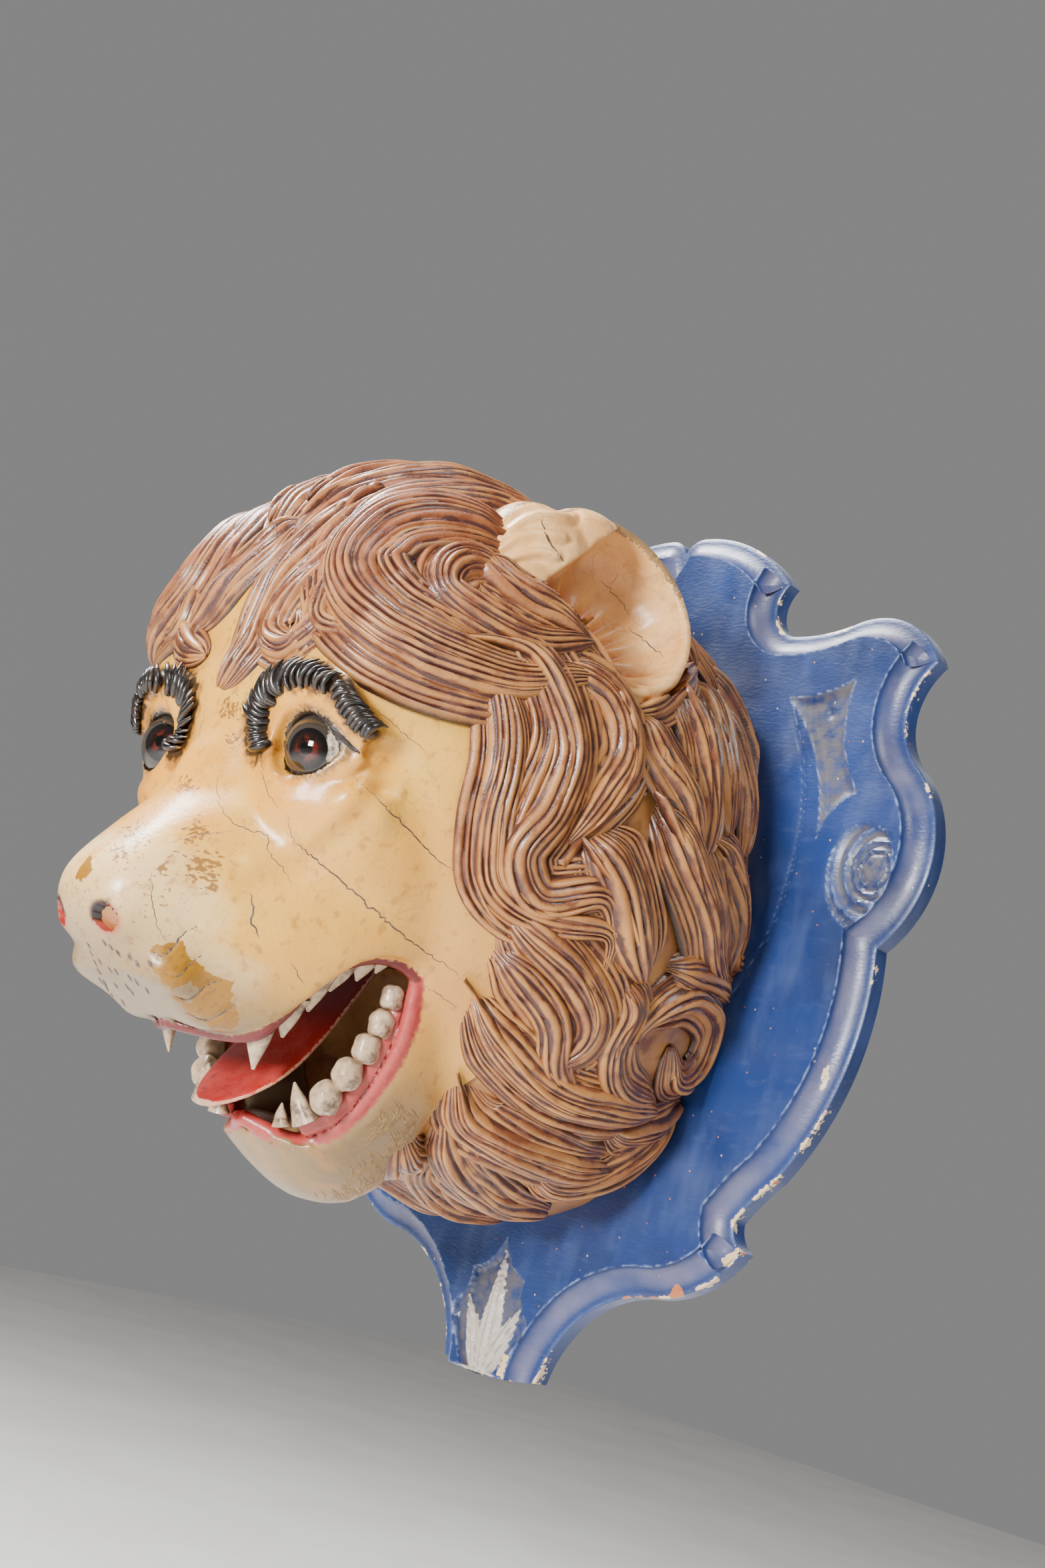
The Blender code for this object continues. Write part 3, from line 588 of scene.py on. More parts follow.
@dataclass(frozen=True)
class BoardPaint:
    """Oil paint brushed on a carved board: a deep blue with pale arrises of rubbed paint and
    painted highlight, a painted sheen across the middle of its cove, greyed by dust in its hollows,
    and flaked to cream ground and bare orange wood at its edges."""

    ground: str = "#1f3870"
    dark: str = "#16264a"
    light: str = "#4c5c88"
    # painted sheen: paler lilac-grey across the middle of the cove
    cove: str = "#756f84"
    # pale blue of the arrises: rubbed paint and painted highlight
    arris_wear_and_highlight: str = "#8494bb"
    dust: str = "#625d5a"
    silver: str = "#beb3a7"
    cream: str = "#e0c49a"
    wood: str = "#b8693a"
    dot_spacing: float = 9.0

    def build(self) -> bpy.types.Material:
        """Mix the paint."""
        p = Palette("blue_oil_paint_on_wood", self.ground)
        p.coat(self.dark, p.pattern(90, 0.42, 0.66, detail=5), 0.75)
        p.coat(self.light, p.pattern(26, 0.5, 0.78, detail=6, stretch=(1, 1, 0.35)), 0.55)
        p.coat(self.light, p.pattern(6, 0.58, 0.8, stretch=(0.3, 1, 1)), 0.25)
        # Painted sheen, palest across the middle of the cove.
        p.coat(self.cove, p.both(p.field("cove", 0.35, 1.0), p.pattern(40, 0.25, 0.62)), 0.62)
        p.coat(self.dust, p.both(p.field("dust"), p.pattern(9, 0.3, 0.6)), 0.85)
        p.coat(self.silver, p.ragged("silver", 0.35, 0.65, 3.0, 0.35), 0.95)
        p.coat(self.dark, p.field("rib", 0.2, 1.0), 0.6)
        # Pale arrises: rubbed paint and painted highlight.
        p.coat(self.arris_wear_and_highlight, p.both(p.field("arris_wear_and_highlight", 0.3, 1.0), p.pattern(7, 0.4, 0.6)), 0.8)
        cells = add_node(p.tree, "ShaderNodeTexVoronoi", {
            "Vector": p.coords, "Scale": 1 / (self.dot_spacing * MM)})
        dot = add_node(p.tree, "ShaderNodeMapRange", {
            "Value": cells.outputs["Distance"], "From Min": 0.11, "From Max": 0.07})
        pick = add_node(p.tree, "ShaderNodeSeparateColor", {"Color": cells.outputs["Color"]})
        for code, channel, rarity, strength in (
            (self.cream, 0, 0.84, 0.75), (self.wood, 1, 0.93, 0.9),
        ):
            picked = add_node(p.tree, "ShaderNodeMath", {0: pick.outputs[channel], 1: rarity},
                              operation="GREATER_THAN")
            p.coat(code, p.both(dot.outputs[0], picked.outputs[0]), strength)
        p.coat(self.cream, p.ragged("chip", 0.45, 0.52, 4.0, 0.5))
        p.coat(self.wood, p.ragged("bare", 0.48, 0.54, 7.0, 0.4))
        relief = p.pattern(2.2, 0.3, 0.7, stretch=(0.4, 1, 1))
        p.varnish(0.12, 0.25)
        return p.finish(relief, 0.12, p.pattern(30, 0.35, 0.65), 0.3, 0.46)


@dataclass(frozen=True)
class FacePaint:
    """Oil paint over gesso on carved wood, varnished: cream and yellow skin that turns white on the
    muzzle, crazed finely, flaked to ochre and brown, with red lips, a dark red mouth and a greyer
    tan jaw; painted shade under the jaw, deep in the nostrils and at the back of the mouth, and
    painted light that makes the mouth's floor paler."""

    ground: str = "#e4a440"
    pale: str = "#f4c050"
    tan: str = "#b0743a"
    yellow: str = "#f09a16"
    white: str = "#f6d094"
    ochre: str = "#9a6a10"
    flake: str = "#7c4c20"
    craze: str = "#7c4f33"
    # greyer tan of the lower jaw: part its paint, part painted shade under it
    jaw: str = "#8a7048"
    lip: str = "#6c1a17"
    gum: str = "#b4443e"
    palate: str = "#300908"
    # painted shade: near-black towards the back of the mouth
    throat_shade: str = "#0d0806"
    # olive-grey floor of the mouth, made paler as painted light
    floor: str = "#84745a"
    hair: str = "#17100c"
    stain: str = "#8a4f22"
    liner: str = "#120d0a"
    lid_grey: str = "#54483c"
    nostril: str = "#b93a38"
    # near-black: darker round the top of each nostril, and painted shade deep inside it
    nostril_dark: str = "#211512"

    def build(self) -> bpy.types.Material:
        """Mix the paint."""
        p = Palette("varnished_face_paint", self.ground)
        p.coat(self.pale, p.pattern(70, 0.4, 0.62), 0.6)
        p.coat(self.tan, p.field("shade"), 0.7)
        p.coat(self.yellow, p.both(p.field("yellow"), p.pattern(45, 0.3, 0.6)), 0.72)
        p.coat(self.white, p.ragged("muzzle", 0.2, 0.8, 34.0, 0.5), 0.85)
        p.coat(self.tan, p.pattern(1.6, 0.64, 0.72, detail=2), 0.28)
        crazing = p.pattern(16, 0.035, 0.0, kind="ShaderNodeTexVoronoi", detail=0.0, output="edge")
        broken = p.pattern(20, 0.5, 0.56)
        p.coat(self.craze, p.both(crazing, broken), 0.22)
        # Greyer tan under the lower jaw: part its paint, part painted shade.
        p.coat(self.jaw, p.field("jaw"), 0.95)
        smears = p.pattern(24, 0.5, 0.72, detail=6, stretch=(1.5, 0.5, 0.8))
        p.coat(self.yellow, p.both(smears, p.field("yellow", 0.1, 0.7)), 0.7)
        flakes = add_node(p.tree, "ShaderNodeAttribute", attribute_name="flake")
        bits = p.pattern(5.0, 0.34, 0.66, detail=9, stretch=(1.9, 0.6, 1.9))
        amount = add_node(p.tree, "ShaderNodeMath", {0: flakes.outputs["Fac"], 1: bits},
                          operation="ADD")
        full = add_node(p.tree, "ShaderNodeMapRange", {
            "Value": amount.outputs[0], "From Min": 1.08, "From Max": 1.2})
        p.coat(self.flake, full.outputs[0], 0.8)
        p.coat(self.ochre, p.ragged("ochre", -0.05, 0.12, 7.0, 6.0))
        p.coat(self.flake, p.both(p.field("ochre", 0.0, 3.0), p.pattern(5, 0.56, 0.66)), 0.5)
        p.coat(self.lid_grey, p.ragged("lid", 0.3, 0.6, 2.5, 0.3), 0.8)
        p.coat(self.stain, p.ragged("brow", 0.1, 0.4, 9.0, 0.6), 0.6)
        p.coat(self.hair, p.ragged("brow", 0.35, 0.6, 6.0, 0.5), 0.9)
        p.coat(self.liner, p.ragged("liner", 0.45, 0.6, 2.5, 0.35), 0.95)
        # Darker round the top of each nostril.
        p.coat(self.nostril_dark, p.ragged("nostril_dark", 0.4, 0.9, 4.0, 0.3), 0.75)
        p.coat(self.nostril, p.field("nostril", 0.35, 0.6))
        # Painted shade deep inside each nostril.
        p.coat(self.nostril_dark, p.field("nostril_shade_inside", 0.4, 0.8))
        p.coat(self.palate, p.field("mouth", 0.4, 0.6))
        # Painted shade: near-black towards the back of the mouth.
        p.coat(self.throat_shade, p.field("throat_shade", 0.2, 0.7))
        # Olive-grey mouth floor, made paler as painted light.
        p.coat(self.floor, p.field("mouth_floor"), 0.9)
        p.coat(self.gum, p.ragged("gum", 0.45, 0.55, 4.0, 0.15))
        p.coat(self.lip, p.both(p.field("gum", 0.5, 0.6), p.pattern(11, 0.48, 0.7)), 0.4)
        p.coat(self.lip, p.field("seam", 0.2, 0.7), 0.9)
        p.coat(self.lip, p.ragged("lip", 0.45, 0.55, 4.0, 0.15))
        relief = p.pattern(3.0, 0.3, 0.7, detail=6)
        p.varnish(0.25, 0.18)
        return p.finish(relief, 0.12, p.pattern(35, 0.35, 0.65), 0.3, 0.44)


@dataclass(frozen=True)
class ManePaint:
    """Oil paint glazed over carved hair: tan on the crests and paler on their tops, part paint and
    part painted highlight, red-brown and purple-brown in the grooves where the glaze has run, more
    rust on the crown, and painted shade along the sunk edges of the locks, with a varnish that
    glints."""

    crest: str = "#9e6636"
    # paler tops of the strands: part paint, part painted highlight
    pale_crest_and_highlight: str = "#c68a4a"
    glaze: str = "#6e3822"
    rust: str = "#9c4c28"
    groove: str = "#40221e"
    # painted shade along the sunk edges of the locks
    painted_shade: str = "#1c110d"

    def build(self) -> bpy.types.Material:
        """Mix the paint."""
        p = Palette("glazed_mane_paint", self.crest)
        # Paler tops of the strands: part paint, part painted highlight.
        p.coat(self.pale_crest_and_highlight, p.both(p.field("ridge", 0.5, 1.0), p.pattern(30, 0.35, 0.62)), 0.8)
        p.coat(self.rust, p.both(p.field("crown"), p.field("tint", 0.25, 0.85)), 0.55)
        p.coat(self.glaze, p.both(p.field("tint", 0.6, 0.95), p.pattern(22, 0.42, 0.6)), 0.5)
        p.coat(self.glaze, p.ragged("ridge", 0.90, 0.55, 18.0, 0.9), 0.8)
        p.coat(self.groove, p.ragged("ridge", 0.66, 0.36, 14.0, 0.75), 0.85)
        # Painted shade along the sunk edges of the locks.
        p.coat(self.painted_shade, p.field("sunk"), 0.85)
        relief = p.pattern(2.0, 0.3, 0.7, detail=3)
        p.varnish(0.35, 0.2)
        return p.finish(relief, 0.15, p.pattern(18, 0.35, 0.65), 0.3, 0.5)


@dataclass(frozen=True)
class EarPaint:
    """The face's varnished paint on the ears, orange at the root, worn brown on the rim, and
    painted shade deep in the cup.
    """

    ground: str = "#efb26c"
    pale: str = "#fccb86"
    tan: str = "#b0743c"
    root: str = "#bf6036"
    rim: str = "#553a20"
    # painted shade deep in the cup
    painted_shade: str = "#7a4c26"

    def build(self) -> bpy.types.Material:
        """Mix the paint."""
        p = Palette("varnished_ear_paint", self.ground)
        p.coat(self.pale, p.pattern(40, 0.38, 0.62), 0.7)
        p.coat(self.tan, p.pattern(14, 0.5, 0.7, detail=6), 0.4)
        # Painted shade deep in the cup.
        p.coat(self.painted_shade, p.field("cup"), 0.32)
        p.coat(self.root, p.both(p.field("root"), p.pattern(9, 0.25, 0.6)), 0.55)
        p.coat(self.root, p.field("rib", 0.15, 0.7), 0.8)
        p.coat(self.rim, p.ragged("rim", 0.45, 0.75, 2.2, 0.9), 0.7)
        crazing = p.pattern(13, 0.03, 0.0, kind="ShaderNodeTexVoronoi", detail=0.0, output="edge")
        p.coat(self.tan, p.both(crazing, p.pattern(18, 0.5, 0.56)), 0.6)
        relief = p.pattern(3.0, 0.3, 0.7, detail=6)
        p.varnish(0.2, 0.2)
        return p.finish(relief, 0.12, p.pattern(25, 0.35, 0.65), 0.34, 0.5)


@dataclass(frozen=True)
class StrokePaint:
    """Thin dark paint of brush strokes and of filled cracks, dry and a little broken."""

    name: str
    colour: str
    faded: str

    def build(self) -> bpy.types.Material:
        """Mix the paint."""
        p = Palette(self.name, self.colour)
        p.coat(self.faded, p.pattern(3.5, 0.42, 0.62), 0.8)
        return p.finish(p.pattern(1.2, 0.3, 0.7), 0.05, None, 0.5)


@dataclass(frozen=True)
class BrowPaint:
    """Black-brown enamel-like paint on carved tufts, glossy, rubbed to tan along some crests."""

    ground: str = "#15100d"
    brown: str = "#3b2a20"
    rubbed: str = "#8c6238"

    def build(self) -> bpy.types.Material:
        """Mix the paint."""
        p = Palette("glossy_brow_paint", self.ground)
        p.coat(self.brown, p.pattern(8, 0.45, 0.65), 0.6)
        p.coat(self.rubbed, p.ragged("rubbed", 0.7, 0.95, 4.0, 0.6), 0.8)
        p.varnish(0.6, 0.12)
        return p.finish(p.pattern(2.0, 0.3, 0.7), 0.1, p.pattern(9, 0.4, 0.6), 0.2, 0.4)


@dataclass(frozen=True)
class EyeGlass:
    """Blown glass dome painted behind: a black-ringed brown iris with red patches, part its colour
    and part painted reflection, and a white that is grey on its shaded side. Its rings are given in
    degrees from the gaze."""

    name: str
    white: str = "#f0dcc0"
    shaded: str = "#3e362e"
    ring: str = "#080605"
    iris: str = "#200f09"
    red_iris_and_reflection: str = "#5a1a0e"
    pupil: str = "#030202"

    def build(self) -> bpy.types.Material:
        """Mix the paint behind the glass."""
        p = Palette(self.name, self.shaded)
        p.coat(self.white, p.ragged("side", 0.2, 0.42, 5.0, 0.3))
        p.coat(self.ring, p.field("gaze", 34.5, 32.5))
        p.coat(self.iris, p.both(p.field("gaze", 29, 22), p.pattern(3.5, 0.3, 0.6)), 0.9)
        # Red patches in the iris: part its colour, part painted reflection.
        p.coat(self.red_iris_and_reflection, p.both(p.field("gaze", 25, 13), p.pattern(6, 0.5, 0.6)), 0.8)
        p.coat(self.pupil, p.field("gaze", 11, 8.5))
        p.varnish(0.4, 0.03)
        return p.finish(None, 0.0, p.pattern(20, 0.4, 0.6), 0.04, 0.09)


@dataclass(frozen=True)
class ToothPaint:
    """Ivory white oil paint on whittled pegs, darker brown towards the gum and in its brush marks.
    """

    ground: str = "#c4a988"
    shade: str = "#826650"
    root_brown: str = "#4a2c20"

    def build(self) -> bpy.types.Material:
        """Mix the paint."""
        p = Palette("ivory_tooth_paint", self.ground)
        p.coat(self.shade, p.pattern(6, 0.45, 0.68), 0.7)
        # Darker brown towards the gum.
        p.coat(self.root_brown, p.ragged("root", 0.55, 0.95, 3.0, 0.5), 0.7)
        p.varnish(0.4, 0.2)
        return p.finish(p.pattern(2.5, 0.3, 0.7), 0.12, p.pattern(8, 0.4, 0.6), 0.25, 0.45)


@dataclass(frozen=True)
class TonguePaint:
    """Bright red gloss paint on a thin wooden tongue, with painted shade where it runs back into
    the mouth, and rubbed at its edge.
    """

    ground: str = "#b42620"
    pale: str = "#c8544a"
    # dark red: painted shade where the tongue runs into the mouth, and loose dark patches
    dark: str = "#5a1310"
    rubbed: str = "#d2a07c"

    def build(self) -> bpy.types.Material:
        """Mix the paint."""
        p = Palette("red_gloss_paint", self.ground)
        p.coat(self.pale, p.pattern(16, 0.42, 0.66, detail=6), 0.5)
        # Painted shade where the tongue runs back into the mouth.
        p.coat(self.dark, p.field("inner"), 0.85)
        p.coat(self.dark, p.pattern(5, 0.6, 0.72), 0.4)
        p.coat(self.rubbed, p.ragged("edge", 0.6, 0.8, 3.0, 0.6), 0.8)
        p.varnish(0.3, 0.2)
        return p.finish(p.pattern(2.5, 0.3, 0.7), 0.15, p.pattern(12, 0.4, 0.6), 0.3, 0.45)


@dataclass(frozen=True)
class FloorPaint:
    """Matt white-grey studio floor, faintly mottled."""

    ground: str = "#f1efec"
    mottle: str = "#e6e3df"

    def build(self) -> bpy.types.Material:
        """Mix the paint."""
        p = Palette("studio_floor", self.ground)
        p.coat(self.mottle, p.pattern(300, 0.4, 0.6), 0.5)
        return p.finish(None, 0.0, None, 0.7)


def dress(obj: Solid, material: bpy.types.Material, slot: Slot, *nodes: str) -> Solid:
    """Give a piece its finish, hang it on the root body and hide the CAD nodes that it stands for.

    Args:
        obj: The piece.
        material: Its finish.
        slot: The record's slot that the finish belongs to; not used.
        nodes: CAD nodes that the piece stands for.

    Returns:
        The same piece.
    """
    obj.data.materials.clear()
    obj.data.materials.append(material)
    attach(obj, "root")
    if nodes:
        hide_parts(*nodes)
    LOG.info("%s: %d corners, %d faces", obj.name, len(obj.data.vertices), len(obj.data.polygons))
    return obj


def soft_shading(obj: Solid, angle: float) -> Solid:
    """Shade smoothly across edges that turn less than an angle in degrees."""
    activate(obj)
    bpy.ops.object.shade_smooth_by_angle(angle=math.radians(angle))
    return obj


# ---------------------------------------------------------------- backboard

def arc(start: Point, end: Point, bow: float, step: float) -> list[tuple[float, float]]:
    """Points from start up to end, which is left out, on an arc bowed to the left if positive."""
    first, last = np.array(start, float), np.array(end, float)
    chord = math.dist(start, end)
    if abs(bow) < 1e-6:
        count = max(1, round(chord / step))
        return [tuple(first + (last - first) * i / count) for i in range(count)]
    half = 2 * math.atan(2 * bow)
    radius = chord / (2 * math.sin(half))
    count = max(2, round(abs(2 * half * radius) / step))
    along = (last - first) / chord
    across = np.array((-along[1], along[0]))
    points = []
    for i in range(count):
        angle = -half + 2 * half * i / count
        run = chord / 2 + radius * math.sin(angle)
        rise = radius * (math.cos(angle) - math.cos(half))
        points.append(tuple(first + along * run + across * rise))
    return points


def arcs(corners: Sequence[Point], step: float) -> list[tuple[float, float]]:
    """Line of arcs from corner to corner, each given as across, height and bow, without its end."""
    points: list[tuple[float, float]] = []
    for (*start, bow), (*end, _) in zip(corners, corners[1:]):
        points += arc(start, end, bow, step)
    return points


def closed(corners: Sequence[Point], step: float) -> list[tuple[float, float]]:
    """Closed outline of arcs between corners."""
    return arcs([*corners, corners[0]], step)


def covered(points: np.ndarray, patches: Sequence[Curve], soft: float) -> np.ndarray:
    """How surely each flat point lies in one of the patches, whose edges are soft."""
    return np.max([ramp(depth_inside(points, patch), -soft, soft) for patch in patches], axis=0)


@dataclass
class Backboard:
    """The shaped board with its cove, sunk panels, scrolls and the silver leaf at its tail."""

    camera: PhotoCamera
    half_width: float = 316.8
    height: float = 726.0
    edge: float = 14.0
    face: float = 28.0
    cove: float = 21.0
    cove_steps: int = 9
    round_over: Point = (1.0, 0.8)
    step: float = 3.0
    grid: float = 2.6
    tail_bow: float = 6.0
    grid_rise: float = 0.87
    shading_angle: float = 38.0
    corners: Sequence[Point] = (
        (0.000, 0.478, 0.15), (0.057, 0.495, 0.11), (0.393, 0.428, -0.30), (0.440, 0.364, -0.05),
        (0.629, 0.375, 0.20), (0.903, 0.328, -0.22), (0.906, 0.212, 0.22), (0.899, 0.017, 0.10),
        (0.755, -0.233, -0.03), (0.664, -0.281, -0.15), (0.708, -0.309, 0.12),
        (0.456, -0.377, -0.16), (0.167, -0.496, 0.0),
    )
    panel: Sequence[Point] = (
        (161, 207, -0.08), (225, 222, -0.12), (248, 128, -0.14), (219, 91, -0.10),
    )
    panel_depth: float = 3.2
    panel_line: Curve = ((161, 207), (190, 150), (202, 92), (196, 20), (176, -32), (160, -60))
    panel_slope: float = 7.0
    panel_line_depth: float = 0.9
    scroll_eye: Point = (277, 69)
    scroll_eye_radius: float = 12.5
    scroll_growth: float = 0.36
    scroll_outline: Curve = (
        (262, 22), (243, 40), (235, 70), (243, 95), (262, 104), (283, 98), (292, 80), (292, 55),
        (280, 32),
    )
    scroll_depth: float = 3.4
    leaf_ground: Sequence[Point] = (
        (0, -256, -0.16), (30, -286, -0.18), (43, -317, 0.06), (13, -368, 0.0), (-13, -368, 0.06),
        (-43, -317, -0.18), (-30, -286, -0.16),
    )
    leaf_blades: Sequence[tuple[Curve, float]] = (
        (((0, -366), (0, -330), (0, -262)), 12.5),
        (((5, -366), (14, -340), (32, -306)), 10.0),
        (((-5, -366), (-14, -340), (-32, -306)), 10.0),
    )
    leaf_depth: float = 5.0
    blade_height: float = 4.6
    nail_holes: Sequence[Point] = (
        (210, -199, 1.7, 5.0), (218, -202, 1.9, 5.0), (205, 193, 4.0, 1.6))
    bare_patches: Sequence[Curve] = (
        ((906, 1962), (940, 1944), (985, 1946), (1010, 1950), (1010, 1956), (960, 1958)),
        ((1000, 1946), (1018, 1922), (1026, 1942), (1016, 1952)),
        ((1112, 1880), (1122, 1850), (1134, 1876), (1128, 1892), (1108, 1908)),
        ((1176, 1775), (1150, 1800), (1140, 1815), (1160, 1770)),
        ((1306, 1500), (1330, 1470), (1332, 1512), (1312, 1530)),
    )
    chip_patches: Sequence[Curve] = (
        ((1058, 1928), (1076, 1914), (1082, 1922), (1066, 1934)),
        ((744, 2062), (756, 2030), (764, 2036), (752, 2068)),
        ((802, 2068), (812, 2050), (818, 2062), (808, 2080)),
        ((1080, 1890), (1106, 1872), (1112, 1884), (1090, 1902)),
        ((684, 2040), (700, 2044), (696, 2050), (682, 2048)),
        ((1238, 1598), (1246, 1602), (1236, 1640), (1230, 1632)),
    )
    worn_spots: int = 60
    tail_end: Point = (-358.0, -366.0, 56.0)

    def half_outline(self) -> list[Vector]:
        """Right half of the board's outline, from the top notch to the tail's corner."""
        scaled = [(x * self.half_width, z * self.height, bow) for x, z, bow in self.corners]
        return [Vector(point) for point in (*arcs(scaled, self.step), scaled[-1][:2])]

    def ring(self, outline: Sequence[Vector], inset: float) -> np.ndarray:
        """The whole outline moved inwards, mitred at corners and running off the tail's end."""
        moved = []
        before = Vector((-outline[1].x, outline[1].y))
        for here, after in zip(outline, outline[1:]):
            first = (here - before).normalized()
            second = (after - here).normalized()
            inward = Vector((first.y, -first.x))
            bisector = (inward + Vector((second.y, -second.x))).normalized()
            moved.append(here + bisector * inset / max(0.35, bisector.dot(inward)))
            before = here
        corner = outline[-1]
        share = (corner.x - inset) / corner.x
        moved.append(Vector((corner.x * share, corner.y - self.tail_bow * (1 - share ** 2))))
        middle = [Vector((0, outline[-1].y - self.tail_bow))]
        left = [Vector((-point.x, point.y)) for point in moved[:0:-1]]
        return np.array([tuple(point) for point in moved + middle + left])

    def sink_panels(self, near: np.ndarray, face: Fields) -> None:
        """Sink the panels and the line beside them, dusty inside, with pale arrises of rubbed paint
        and painted highlight.
        """
        panel = depth_inside(near, closed(self.panel, self.step))
        line = distance_to_line(near, smooth_line(self.panel_line, 10))
        face["height"] -= self.panel_depth * ramp(panel, 0.0, self.panel_slope)
        face["height"] -= self.panel_line_depth * hump(line, 1.6) * (panel < 0)
        face["dust"] += 0.85 * ramp(panel, -0.5, 1.0) * (1 - 0.45 * ramp(panel, 10, 22))
        face["arris_wear_and_highlight"] += hump(panel - 0.2, 1.1) + 0.7 * hump(line - 1.8, 1.0)

    def cut_scrolls(self, near: np.ndarray, face: Fields) -> None:
        """Cut the scrolls, each a spiral groove round an eye."""
        outline = smooth_line((*self.scroll_outline, self.scroll_outline[0]), 8)[:-1]
        scroll = depth_inside(near, outline)
        away = near - np.array(self.scroll_eye)
        reach = np.hypot(away[:, 0] * 1.12, away[:, 1]) + 1e-6
        turns = np.arctan2(away[:, 1], away[:, 0]) / (2 * np.pi)
        phase = turns + np.log(np.maximum(reach, 5.0) / 12.0) / self.scroll_growth
        wave = 0.5 - 0.5 * np.cos(2 * np.pi * phase)
        eye = ramp(reach, self.scroll_eye_radius, self.scroll_eye_radius - 2.5)
        swirl = np.where(reach > self.scroll_eye_radius - 1.5, wave ** 0.8, 1.0)
        inside = ramp(scroll, 0.0, 3.0)
        face["height"] -= inside * self.scroll_depth * (0.25 + 0.75 * swirl) * (1 - 0.55 * eye)
        dusty = inside * np.clip(swirl * 1.1 + eye * 0.5, 0, 1) * 0.95
        face["dust"] = np.maximum(face["dust"], dusty)
        # Pale arrises, rubbed paint and painted highlight, along the scroll's edge and the tops of
        # its spiral.
        face["arris_wear_and_highlight"] += hump(scroll - 0.3, 1.0) + 0.8 * inside * (1 - swirl) ** 2

    def carve_leaf(self, flat: np.ndarray, face: Fields) -> None:
        """Sink the ground at the tail and carve the leaf's blades in it, ribbed and silvered."""
        ground = depth_inside(flat, closed(self.leaf_ground, self.step))
        sunk = ramp(ground, 0.0, 2.5)
        face["height"] -= self.leaf_depth * sunk
        face["dust"] = np.maximum(face["dust"], sunk * 0.8)
        # Pale arris, rubbed paint and painted highlight, round the leaf's sunk ground.
        face["arris_wear_and_highlight"] += hump(ground - 0.1, 0.9)
        for spine, half in self.leaf_blades:
            line = smooth_line(spine, 12)
            for i, (point, along) in enumerate(zip(line, np.diff(line, axis=0))):
                share = i / (len(line) - 2)
                span = np.linalg.norm(along)
                offset = flat - point
                run = offset @ along / span ** 2
                side = (offset[:, 0] * along[1] - offset[:, 1] * along[0]) / span
                width = half * (0.35 + 0.65 * math.sin(math.pi * share ** 0.8)) * (1 - share ** 5)
                on = (run >= -0.02) & (run <= 1.02) & (np.abs(side) < width)
                u = np.clip(side / max(width, 0.1), -1, 1)
                ribs = np.cos(3 * np.pi * u)
                crown = self.blade_height * (1 - np.abs(u) ** 3) * (0.72 + 0.28 * ribs)
                lifted = np.maximum(face["height"], crown - self.leaf_depth)
                grooves = ramp(-ribs, 0.3, 1.0) * 0.8
                for name, value in (("height", lifted), ("silver", 1.0), ("rib", grooves)):
                    face[name] = np.where(on, value, face[name])

    def carving(self, flat: np.ndarray) -> Fields:
        """Carving of the board's face.

        Args:
            flat: Points of the face, across and height in millimetres.

        Returns:
            How far each point stands up, or is cut down below zero, and the paint's fields.
        """
        near = np.abs(flat) * (1, 0) + flat * (0, 1)
        face = {name: np.zeros(len(flat)) for name in ("height", "dust", "arris_wear_and_highlight", "silver", "rib")}
        self.sink_panels(near, face)
        self.cut_scrolls(near, face)
        self.carve_leaf(flat, face)
        for x, z, radius, depth in self.nail_holes:
            pit = ramp(np.hypot(near[:, 0] - x, near[:, 1] - z), radius * 1.3, radius * 0.6)
            face["height"] -= pit * depth
            face["dust"] = np.maximum(face["dust"], pit)
        face["arris_wear_and_highlight"] = np.clip(face["arris_wear_and_highlight"], 0, 1)
        return face

    def section(self) -> tuple[list[float], list[float]]:
        """Insets and depths of the rings from the board's back, up its edge and over its cove."""
        inset, drop = self.round_over
        insets = [0.0, 0.0, inset]
        depths = [0.0, self.edge - drop, self.edge]
        for i in range(1, self.cove_steps + 1):
            angle = math.pi / 2 * i / self.cove_steps
            insets.append(inset + (self.cove - inset) * math.sin(angle))
            depths.append(self.edge + (self.face - self.edge) * (1 - math.cos(angle)))
        return insets, depths

    def face_mesh(self, rim: np.ndarray) -> tuple[np.ndarray, list[tuple[int, ...]], list[int]]:
        """Flat mesh of the board's face, fine enough to carve.

        Args:
            rim: The face's outline.

        Returns:
            Its corners, its faces, and the corner that stands at each point of the outline.
        """
        count = len(rim)
        low, high = rim.min(0), rim.max(0)
        across, up = np.meshgrid(np.arange(low[0], high[0], self.grid),
                                 np.arange(low[1], high[1], self.grid * self.grid_rise))
        across[1::2] += self.grid / 2
        points = np.column_stack((across.ravel(), up.ravel()))
        points = points[depth_inside(points, rim) > self.grid * 0.6]
        seeds = [Vector(point) for point in (*rim, *points)]
        border = [(i, (i + 1) % count) for i in range(count)]
        flat, _, faces, origins, _, _ = delaunay_2d_cdt(seeds, border, [], 1, 1e-5)
        stands = {seed: i for i, group in enumerate(origins) for seed in group if seed < count}
        return (np.array([tuple(point) for point in flat]), [tuple(face) for face in faces],
                [stands[i] for i in range(count)])

